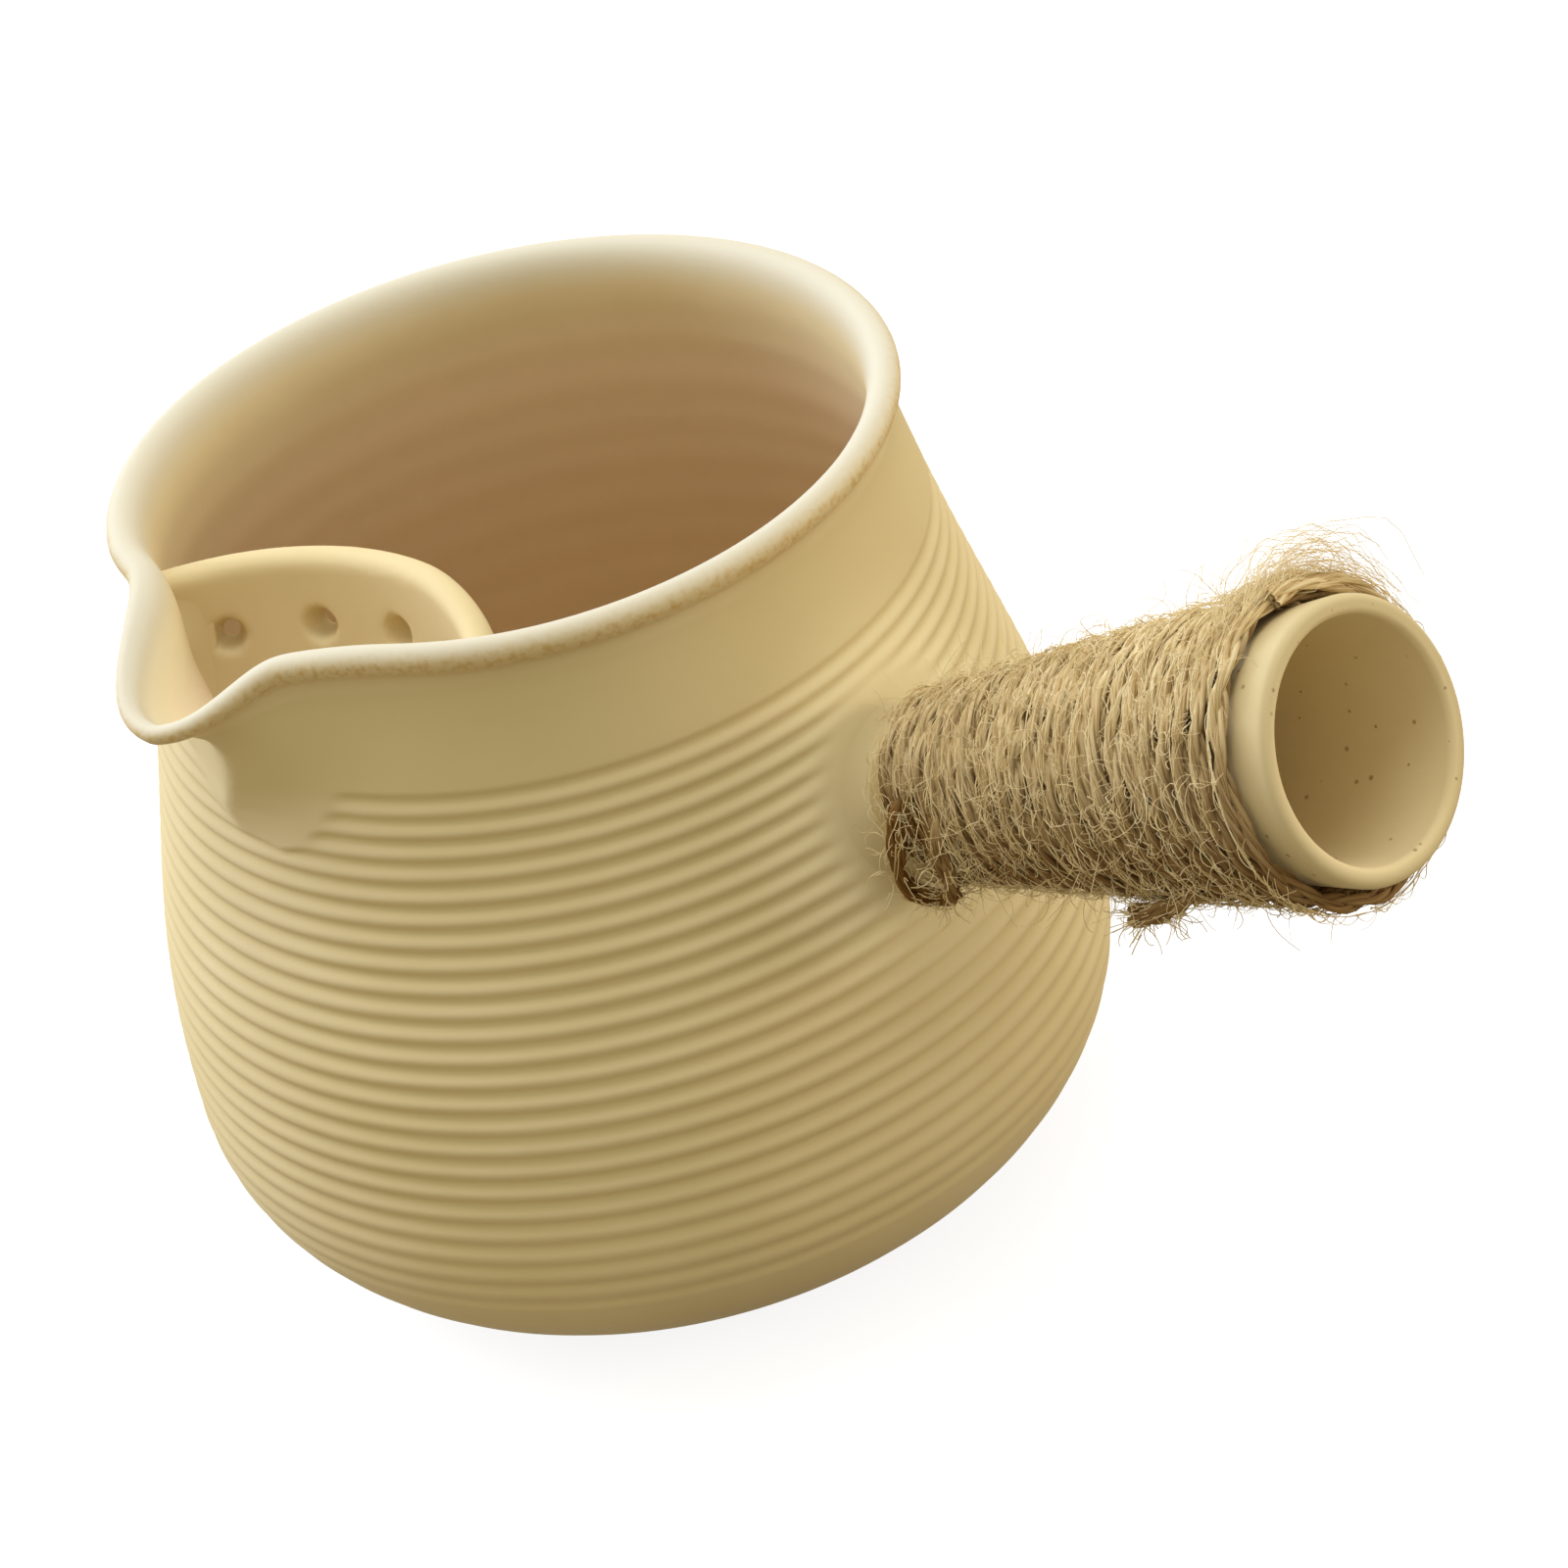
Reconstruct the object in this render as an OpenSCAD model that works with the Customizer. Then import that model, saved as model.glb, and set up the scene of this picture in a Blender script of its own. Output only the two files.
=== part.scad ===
// Side-handled clay teapot. A ribbed pot has a pulled lip, a pierced strainer wall stands behind the lip,
// and a hollow flared handle at right angles to the lip is wound with jute twine.
// Millimetres, +Z up. The origin is the centre of the foot, and the handle points along +X.

/* [Pot] */
// Radius of the flat foot
foot_r = 26.5; // [22:0.5:30]
// Largest radius of the belly
belly_r = 54; // [50:0.5:58]
// Height of the belly's widest place
belly_z = 25; // [21:0.5:30]
// Height of the pot to the top of the rim
pot_h = 98; // [90:0.5:108]
// Outer radius of the neck, just under the rim
neck_r = 41.8; // [39:0.2:45]
// Thickness of the wall at the belly
wall = 4.4; // [3.6:0.1:5.4]
// Thickness of the base
base_t = 5; // [3.5:0.1:7]
// Radius of the rolled bead round the rim
rim_bead_r = 2.6; // [2:0.1:3.2]
// How far the rim's bead stands out from the neck
rim_proud = 2.5; // [1.8:0.1:3.2]

/* [Ribs] */
// Height of the plain band between the rim's centre and the first groove
plain_band = 16; // [12:0.5:20]
// Number of turned grooves
rib_count = 24; // [12:1:24]
// Distance between the first two grooves
rib_pitch = 2.42; // [2:0.02:2.6]
// How much wider each next rib is
rib_growth = 0.026; // [0:0.002:0.03]
// Radius of the tool that turns a groove
groove_r = 0.9; // [0.6:0.05:1]
// Depth of a groove
groove_depth = 0.5; // [0.2:0.05:0.6]

/* [Lip] */
// Direction of the lip, in degrees from the handle
lip_azimuth = -96; // [-110:1:-75]
// How far the lip reaches past the rim
lip_reach = 10; // [7:0.5:12]
// Radius of the lip's edge, seen along its own axis
lip_r = 12.5; // [11:0.5:16]
// Radius of the lip's throat, where it dies into the wall
throat_r = 10; // [8.5:0.5:11]
// Height of the lip along its own axis
lip_h = 22; // [18:0.5:26]
// Outward tilt of the lip, in degrees
lip_tilt = 14; // [8:1:20]
// Radius of the bead round the lip's edge
lip_bead_r = 2.2; // [1.8:0.1:2.6]

/* [Strainer] */
// Outer radius of the strainer's bowl
strainer_r = 30.8; // [27:0.2:33]
// Thickness of the strainer's wall
strainer_t = 3.6; // [2.8:0.1:4.4]
// Distance of the bowl's centre from the pot's axis
strainer_axis_r = 48; // [45:0.2:51]
// How far the strainer's top edge lies below the rim
strainer_drop = 6; // [3:0.5:12]
// Turn of the strainer from the lip towards the handle, in degrees
strainer_turn = 2; // [-5:0.5:5]
// Radius of a strainer hole
hole_r = 1.9; // [1.2:0.1:2.2]
// Distance between neighbouring holes
hole_pitch = 10.6; // [8:0.2:12]
// Number of rows of holes
hole_rows = 3; // [1:1:3]
// Holes in the top row
top_row_holes = 5; // [3:1:5]
// Height of the strainer's edge above the centres of the top row
top_row_depth = 7.6; // [6:0.2:10]

/* [Handle] */
// Height at which the handle's axis leaves the wall
handle_root_z = 62; // [54:0.5:66]
// Upward tilt of the handle, in degrees
handle_tilt = 18.6; // [10:0.2:24]
// Length of the handle from the wall to its open end
handle_len = 67; // [55:0.5:76]
// Outer radius of the handle at its root
handle_root_r = 7.5; // [7:0.1:10]
// Outer radius of the ring at the handle's open end
ring_r = 15; // [12.5:0.1:16.5]
// Thickness of the handle's wall
handle_wall = 2.2; // [1.6:0.1:3]
// Width of the slip collar round the handle's root
collar_w = 3.6; // [2.5:0.1:6]
// Height of the slip collar along the handle
collar_h = 2.4; // [1.8:0.1:2.8]

/* [Twine] */
// Diameter of the twine
twine_d = 2.3; // [1.8:0.1:2.8]
// Space between neighbouring turns
twine_space = 0.5; // [0.45:0.05:0.8]
// Length of bare clay between the wall and the twine
twine_start = 3; // [2.9:0.1:8]
// Length of the bare ring at the handle's open end
bare_ring = 3.4; // [2:0.2:10]

/* [Fit] */
// Gap between pieces that are seated on each other
seat_gap = 0.3; // [0.2:0.05:0.4]
// Thickness of the slip bed under the strainer's edge
slip_t = 1; // [0.6:0.1:1.4]

/* [Hidden] */
$fn = 96;

// Colours of fired buff clay, the slip and the jute
clay = [0.83, 0.74, 0.56];
slip = [0.86, 0.78, 0.61];
jute = [0.62, 0.50, 0.34];

// Share of an interval that a value has covered, kept between 0 and 1
function share(x, low, high) = min(1, max(0, (x - low) / (high - low)));
// Smooth step from 0 to 1
// Point at t on a cubic curve with four control points
function cubic(p, t) =
    pow(1 - t, 3) * p[0] + 3 * t * pow(1 - t, 2) * p[1] + 3 * t * t * (1 - t) * p[2] + pow(t, 3) * p[3];

// Outline of the pot
arc_steps = 10;
side_steps = 18;
rim_z = pot_h - rim_bead_r;
rim_c = neck_r + rim_proud - rim_bead_r;
mouth_r = rim_c - rim_bead_r;
// The side leaves the belly upright and leans in to the neck. The pulls are shares of its height and width.
upright_pull = 0.38;
lean_pull = 0.44;
lean_width = 0.53;
side_h = rim_z - belly_z;
side_curve = [
    [belly_r, belly_z],
    [belly_r, belly_z + upright_pull * side_h],
    [neck_r + lean_width * (belly_r - neck_r), belly_z + lean_pull * side_h],
    [neck_r, rim_z]
];
side_points = [for (i = [0 : side_steps]) cubic(side_curve, i / side_steps)];
// Rounded lower corner between a flat of radius r at height z and the belly
function corner_points(r, z, out_r) = [
    for (i = [0 : arc_steps - 1])
        let (a = 90 * i / arc_steps)
            [r + (out_r - r) * sin(a), z + (belly_z - z) * (1 - cos(a))]
];
outer_points = concat(corner_points(foot_r, 0, belly_r), side_points);
height_to_radius = [for (p = outer_points) [p[1], p[0]]];
function body_r(z) = lookup(z, height_to_radius);
// The wall thins from the belly to the rim
function wall_at(z) = wall + (neck_r - mouth_r - wall) * share(z, belly_z, rim_z);
function groove_z(i) = rim_z - plain_band - i * rib_pitch - rib_growth * i * (i - 1) / 2;

// Solid of the pot without its grooves, grown outwards, and fine enough to cut thin pieces by
envelope_fn = 240;
module envelope(grow) {
    side = [for (p = outer_points) [p[0] + grow, p[1]]];
    rotate_extrude($fn = envelope_fn)
        polygon(concat([[0, 0]], side, [[0, rim_z]]));
}

// Half section of the hollow, drawn in from the wall by inset
module hollow_section(inset) {
    corner = corner_points(foot_r - inset, base_t + inset, belly_r - wall - inset);
    side = [for (p = side_points) [p[0] - wall_at(p[1]) - inset, p[1]]];
    above = [[mouth_r - inset, 2 * pot_h], [0, 2 * pot_h]];
    polygon(concat([[0, base_t + inset]], corner, side, above));
}

// Half section of the pot's outside, with the rim's bead and the grooves
module outside_section() {
    difference() {
        union() {
            polygon(concat([[0, 0]], outer_points, [[0, rim_z]]));
            translate([rim_c, rim_z])
                circle(r = rim_bead_r);
        }
        for (i = [0 : rib_count - 1])
            translate([body_r(groove_z(i)) + groove_r - groove_depth, groove_z(i)])
                circle(r = groove_r);
    }
}

// The lip is a small flared cup that leans out through the rim
lip_steps = 10;
lip_c = rim_c + rim_bead_r + lip_reach - (lip_r + lip_bead_r) * cos(lip_tilt);
// Shares of the lip's height at which its side leaves the throat and turns out to the edge
throat_pull = 0.4;
edge_pull = 0.2;
lip_curve = [
    [throat_r, -lip_h],
    [throat_r, -throat_pull * lip_h],
    [lip_r - lip_bead_r, -edge_pull * lip_h],
    [lip_r, 0]
];
lip_points = [for (i = [0 : lip_steps]) cubic(lip_curve, i / lip_steps)];

module at_lip() {
    rotate([0, 0, lip_azimuth])
        translate([lip_c, 0, rim_z])
            rotate([0, lip_tilt, 0])
                children();
}

module lip_outside() {
    at_lip()
        rotate_extrude() {
            polygon(concat([[0, -lip_h]], lip_points, [[0, 0]]));
            translate([lip_r, 0])
                circle(r = lip_bead_r);
        }
}

module lip_hollow() {
    mouth = lip_r - lip_bead_r;
    inner_points = [for (p = lip_points) [p[0] - lip_bead_r, p[1]]];
    at_lip()
        rotate_extrude()
            polygon(concat([[0, -lip_h]], inner_points, [[mouth, pot_h], [0, pot_h]]));
}

module pot_body() {
    color(clay)
        difference() {
            union() {
                rotate_extrude()
                    outside_section();
                lip_outside();
            }
            rotate_extrude()
                hollow_section(0);
            lip_hollow();
        }
}

// Bowl of the strainer, thickened by grow on both sides
strainer_z = pot_h - strainer_drop - strainer_t / 2;
module strainer_bowl(grow) {
    mid_r = strainer_r - strainer_t / 2;
    half_t = strainer_t / 2 + grow;
    rotate([0, 0, lip_azimuth + strainer_turn])
        translate([strainer_axis_r, 0, strainer_z])
            rotate_extrude() {
                intersection() {
                    difference() {
                        circle(r = mid_r + half_t);
                        circle(r = mid_r - half_t);
                    }
                    translate([0, -2 * strainer_r])
                        square(2 * strainer_r);
                }
                translate([mid_r, 0])
                    circle(r = half_t);
            }
}

// Holes point at the bowl's centre, and each row has one hole fewer than the row above
module strainer_holes() {
    mid_r = strainer_r - strainer_t / 2;
    top_angle = asin((top_row_depth - strainer_t / 2) / mid_r);
    row_angle = 2 * asin(hole_pitch / (2 * mid_r));
    rotate([0, 0, lip_azimuth + strainer_turn])
        translate([strainer_axis_r, 0, strainer_z])
            for (row = [0 : hole_rows - 1]) {
                drop = top_angle + row * row_angle;
                count = top_row_holes - row;
                turn = 2 * asin(hole_pitch / (2 * mid_r * cos(drop)));
                for (i = [0 : count - 1])
                    rotate([0, 0, 180 + turn * (i - (count - 1) / 2)])
                        rotate([0, 90 + drop, 0])
                            translate([0, 0, mid_r - strainer_t])
                                cylinder(r = hole_r, h = 2 * strainer_t);
            }
}

module strainer() {
    color(clay)
        difference() {
            intersection() {
                strainer_bowl(0);
                rotate_extrude()
                    hollow_section(slip_t + seat_gap);
            }
            strainer_holes();
        }
}

module strainer_slip_bed() {
    color(slip)
        difference() {
            intersection() {
                strainer_bowl(slip_t);
                rotate_extrude()
                    hollow_section(seat_gap / 2);
            }
            rotate_extrude()
                hollow_section(slip_t + seat_gap / 2);
        }
}

// Handle, measured along its axis from the wall: its root starts inside the pot and is cut to the wall
handle_sink = 8;
// The open end has rounded edges
end_round = 0.8;
round_steps = 4;
flare_len = handle_len - end_round;
function handle_r(l) = handle_root_r + (ring_r - handle_root_r) * share(l, 0, flare_len);

module on_handle_axis() {
    translate([body_r(handle_root_z), 0, handle_root_z])
        rotate([0, 90 - handle_tilt, 0])
            children();
}

module handle_tube() {
    round_points = [
        for (i = [0 : round_steps])
            let (a = 90 * i / round_steps)
                [ring_r - end_round + end_round * cos(a), flare_len + end_round * sin(a)]
    ];
    bore_r = ring_r - handle_wall;
    mouth_points = [
        for (i = [0 : round_steps])
            let (a = 90 + 90 * i / round_steps)
                [bore_r + end_round + end_round * cos(a), flare_len + end_round * sin(a)]
    ];
    root_bore_r = handle_root_r - handle_wall;
    outer_root = [[handle_root_r, -handle_sink], [handle_root_r, 0]];
    bore_root = [[root_bore_r, 0], [root_bore_r, -handle_sink]];
    color(clay)
        difference() {
            on_handle_axis()
                rotate_extrude()
                    polygon(concat(outer_root, round_points, mouth_points, bore_root));
            envelope(seat_gap);
        }
}

// The collar's section is a hollow fillet between the wall and the handle
module handle_slip_collar() {
    inner_r = handle_root_r + seat_gap;
    top_r = handle_r(collar_h) + seat_gap;
    fillet_points = [
        for (i = [0 : round_steps])
            let (a = 90 * i / round_steps)
                [top_r + collar_w * (1 - sin(a)), collar_h * (1 - cos(a))]
    ];
    bore_points = [[inner_r, 0], [inner_r, -handle_sink], [top_r + collar_w, -handle_sink]];
    color(slip)
        difference() {
            on_handle_axis()
                rotate_extrude()
                    polygon(concat(bore_points, fillet_points));
            envelope(seat_gap);
        }
}

// Twine: one tube that winds from the root out to the ring
twine_rings = 24;
twine_sides = 6;
twine_pitch = twine_d + twine_space;
first_l = twine_start + twine_d / 2;
last_l = handle_len - bare_ring - twine_d / 2;
twine_turns = (last_l - first_l) / twine_pitch;
// Angle round the handle at which the winding starts, near its underside
start_angle = -40;
function twine_point(turn) =
    let (
        l = first_l + twine_pitch * turn,
        r = handle_r(l) + seat_gap + twine_d / 2,
        a = start_angle + 360 * turn
    )
        [r * cos(a), r * sin(a), l];
twine_last = floor(twine_turns * twine_rings);
wound_points = [for (i = [0 : twine_last]) twine_point(i / twine_rings)];
function unit(v) = v / norm(v);
start_run = unit(wound_points[0] - wound_points[1]);
end_run = unit(wound_points[twine_last] - wound_points[twine_last - 1]);
twine_path = concat(
    [wound_points[0] + twine_d * start_run],
    wound_points,
    [wound_points[twine_last] + twine_d * end_run]
);
path_last = len(twine_path) - 1;
// Ring of points round the path, turned so that its sides face the handle's axis
function twine_ring(i) =
    let (
        p = twine_path[i],
        run = unit(twine_path[min(i + 1, path_last)] - twine_path[max(i - 1, 0)]),
        side = unit(cross(run, [p[0], p[1], 0])),
        up = cross(side, run)
    )
        [
            for (k = [0 : twine_sides - 1])
                let (a = 360 * k / twine_sides)
                    p + twine_d / 2 * (cos(a) * side + sin(a) * up)
        ];
// Least gap of the tube to itself, taken between path points from half a turn to two turns apart
half_turn = twine_rings / 2;
gap_window = 2 * twine_rings;
twine_gap = min([
    for (i = [0 : path_last - half_turn], j = [i + half_turn : min(path_last, i + gap_window)])
        norm(twine_path[i] - twine_path[j])
]) - twine_d;
echo(least_twine_gap = twine_gap, twine_turns = twine_turns);

// Closed skin through equal rings of points
module skin(rings) {
    count = len(rings[0]);
    last = len(rings) - 1;
    side_faces = [
        for (i = [0 : last - 1], j = [0 : count - 1])
            let (a = i * count + j, b = i * count + (j + 1) % count)
                each [[a, b, b + count], [a, b + count, a + count]]
    ];
    first_cap = [[for (j = [count - 1 : -1 : 0]) j]];
    last_cap = [[for (j = [0 : count - 1]) last * count + j]];
    polyhedron([for (r = rings) each r], concat(side_faces, first_cap, last_cap));
}

module twine_winding() {
    color(jute)
        on_handle_axis()
            skin([for (i = [0 : path_last]) twine_ring(i)]);
}

pot_body();
strainer();
strainer_slip_bed();
handle_tube();
handle_slip_collar();
twine_winding();
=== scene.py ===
"""Visual model of a side-handled clay teapot whose handle is wound with jute twine.

Sizes in the classes are millimetres and degrees in the part's own frame: +Z up from the middle of the foot,
the handle along +X and the lip towards about -Y. Meshes are made in metres.
"""
import bisect
import logging
import math
import random
from dataclasses import dataclass, field
from enum import Enum
from typing import Any, Optional, Sequence

import bmesh
import bpy
from mathutils import Euler, Matrix, Vector, noise


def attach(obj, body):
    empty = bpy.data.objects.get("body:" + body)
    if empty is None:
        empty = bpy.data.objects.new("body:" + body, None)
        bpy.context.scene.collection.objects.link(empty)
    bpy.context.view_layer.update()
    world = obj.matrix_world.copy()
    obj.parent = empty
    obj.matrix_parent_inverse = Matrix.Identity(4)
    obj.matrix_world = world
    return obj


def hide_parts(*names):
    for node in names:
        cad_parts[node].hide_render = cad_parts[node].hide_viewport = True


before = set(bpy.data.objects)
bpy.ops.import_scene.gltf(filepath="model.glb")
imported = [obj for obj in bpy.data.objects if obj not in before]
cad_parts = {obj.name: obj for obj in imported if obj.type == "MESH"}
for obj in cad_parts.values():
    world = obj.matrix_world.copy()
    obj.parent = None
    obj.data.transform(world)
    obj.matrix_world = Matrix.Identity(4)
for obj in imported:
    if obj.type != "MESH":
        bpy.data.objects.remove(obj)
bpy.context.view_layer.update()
LOG = logging.getLogger("teapot")
MM = 0.001
MERGE_M = 1e-6
ON_AXIS_MM = 1e-6
FULL_TURN = 2.0 * math.pi
Span = tuple[float, float]
Profile = list[tuple[float, float]]
Strand = list[tuple[Vector, float]]


class Slot(Enum):
    """Material slots of the part's record."""

    CLAY = "buff_clay"
    SLIP = "clay_slip"
    JUTE = "jute_twine"


class Side(Enum):
    """The two faces of a thrown wall."""

    INNER = "inner"
    OUTER = "outer"


def linear(hex_code: str) -> tuple[float, float, float, float]:
    """Turns an sRGB hex colour into linear values.

    Args:
        hex_code: Six hex digits, with or without a leading hash.

    Returns:
        Linear red, green and blue, and an alpha of 1.
    """
    digits = hex_code.lstrip("#")
    channels = [int(digits[i : i + 2], 16) / 255.0 for i in (0, 2, 4)]
    red, green, blue = [c / 12.92 if c <= 0.04045 else ((c + 0.055) / 1.055) ** 2.4 for c in channels]
    return red, green, blue, 1.0


def per_mm(size: float) -> float:
    """Scale of a pattern on metre coordinates whose features are size millimetres across."""
    return 1.0 / (size * MM)


def ease(value: float) -> float:
    """Smooth step of a share, which is first kept between 0 and 1."""
    share = min(1.0, max(0.0, value))
    return share * share * (3.0 - 2.0 * share)


def mix(a: float, b: float, share: float) -> float:
    """Value at a share of the way from a to b."""
    return a + (b - a) * share


def hump(offset: float, width: float) -> float:
    """Bell curve that is 1 at no offset and about a third at one width."""
    return math.exp(-((offset / width) ** 2))


def bezier(points: Sequence[tuple[float, float]], t: float) -> tuple[float, float]:
    """Point on a cubic curve.

    Args:
        points: Four control points.
        t: Share of the way along the curve.

    Returns:
        The point at that share.
    """
    weights = ((1 - t) ** 3, 3 * t * (1 - t) ** 2, 3 * t * t * (1 - t), t**3)
    return (
        sum(w * p[0] for w, p in zip(weights, points)),
        sum(w * p[1] for w, p in zip(weights, points)),
    )


def waver(*place: float) -> float:
    """Smooth noise from about -1 to 1 at a place given by up to three numbers."""
    return noise.noise(Vector((*place, 0.0, 0.0)[:3]))


def add_node(
    tree: bpy.types.NodeTree, kind: str, inputs: Optional[dict[Any, Any]] = None, **settings: Any
) -> bpy.types.Node:
    """Adds one shader node with its settings and links.

    Args:
        tree: Node tree that takes the node.
        kind: Blender's name of the node type.
        inputs: Values or output sockets, by the name or number of the node's own input.
        settings: Properties of the node.

    Returns:
        The new node.
    """
    node = tree.nodes.new(kind)
    for key, value in settings.items():
        setattr(node, key, value)
    for key, value in (inputs or {}).items():
        if isinstance(value, bpy.types.NodeSocket):
            tree.links.new(value, node.inputs[key])
        else:
            node.inputs[key].default_value = value
    return node


def new_material(name: str) -> tuple[bpy.types.Material, bpy.types.NodeTree]:
    """Makes an empty node material.

    Args:
        name: Name of the material.

    Returns:
        The material and its node tree.
    """
    material = bpy.data.materials.new(name)
    material.use_nodes = True
    material.node_tree.nodes.clear()
    return material, material.node_tree


def mesh_from(bm: bmesh.types.BMesh, name: str) -> bpy.types.Mesh:
    """Turns a finished bmesh into a mesh and frees it.

    Args:
        bm: The bmesh.
        name: Name of the mesh.

    Returns:
        The mesh.
    """
    mesh = bpy.data.meshes.new(name)
    bm.to_mesh(mesh)
    bm.free()
    return mesh


def spun(profile: Profile, steps: int) -> bmesh.types.BMesh:
    """Spins a profile once round the Z axis and closes its seam and poles.

    Args:
        profile: Points as radius and height, in millimetres.
        steps: Number of steps round the axis.

    Returns:
        The closed shape, in metres.
    """
    bm = bmesh.new()
    verts = [bm.verts.new((r * MM, 0.0, z * MM)) for r, z in profile]
    edges = [bm.edges.new(pair) for pair in zip(verts, verts[1:])]
    bmesh.ops.spin(
        bm, geom=verts + edges, cent=(0, 0, 0), axis=(0, 0, 1), angle=FULL_TURN, steps=steps, use_merge=True
    )
    bmesh.ops.remove_doubles(bm, verts=bm.verts[:], dist=MERGE_M)
    bmesh.ops.recalc_face_normals(bm, faces=bm.faces[:])
    return bm


def new_object(name: str, data: bpy.types.ID) -> bpy.types.Object:
    """Puts a new object into the scene.

    Args:
        name: Name of the object.
        data: Its mesh, curve, lamp or camera.

    Returns:
        The object.
    """
    thing = bpy.data.objects.new(name, data)
    bpy.context.scene.collection.objects.link(thing)
    return thing


def taken_mesh(holder: bpy.types.Object) -> bpy.types.Mesh:
    """Takes the mesh of a passing object, with its modifiers or bevel applied, and removes the object.

    Args:
        holder: The object.

    Returns:
        Its mesh.
    """
    graph = bpy.context.evaluated_depsgraph_get()
    mesh = bpy.data.meshes.new_from_object(holder.evaluated_get(graph))
    bpy.data.objects.remove(holder)
    return mesh


def settled(mesh: bpy.types.Mesh, changes: Sequence[tuple[str, dict[str, Any]]]) -> bpy.types.Mesh:
    """Applies modifiers to a mesh.

    Args:
        mesh: Mesh to change.
        changes: Kind and settings of each modifier, in order.

    Returns:
        A new mesh with the modifiers applied.
    """
    holder = new_object("holder", mesh)
    for kind, settings in changes:
        modifier = holder.modifiers.new(kind, kind)
        for key, value in settings.items():
            setattr(modifier, key, value)
    return taken_mesh(holder)


def place_piece(
    name: str, mesh: bpy.types.Mesh, materials: Sequence[bpy.types.Material], slot: Slot, *nodes: str
) -> bpy.types.Object:
    """Puts a finished mesh into the scene as a piece of the teapot.

    Args:
        name: Name of the piece.
        mesh: Its mesh, in place.
        materials: Its materials, in the order of their slots.
        slot: The record's material slot for its finish; not used.
        nodes: CAD nodes that the piece stands for.

    Returns:
        The piece.
    """
    mesh.materials.clear()
    for material in materials:
        mesh.materials.append(material)
    mesh.shade_smooth()
    piece = new_object(name, mesh)
    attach(piece, "root")
    if nodes:
        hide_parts(*nodes)
    LOG.info("%s has %d faces", name, len(mesh.polygons))
    return piece


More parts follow.
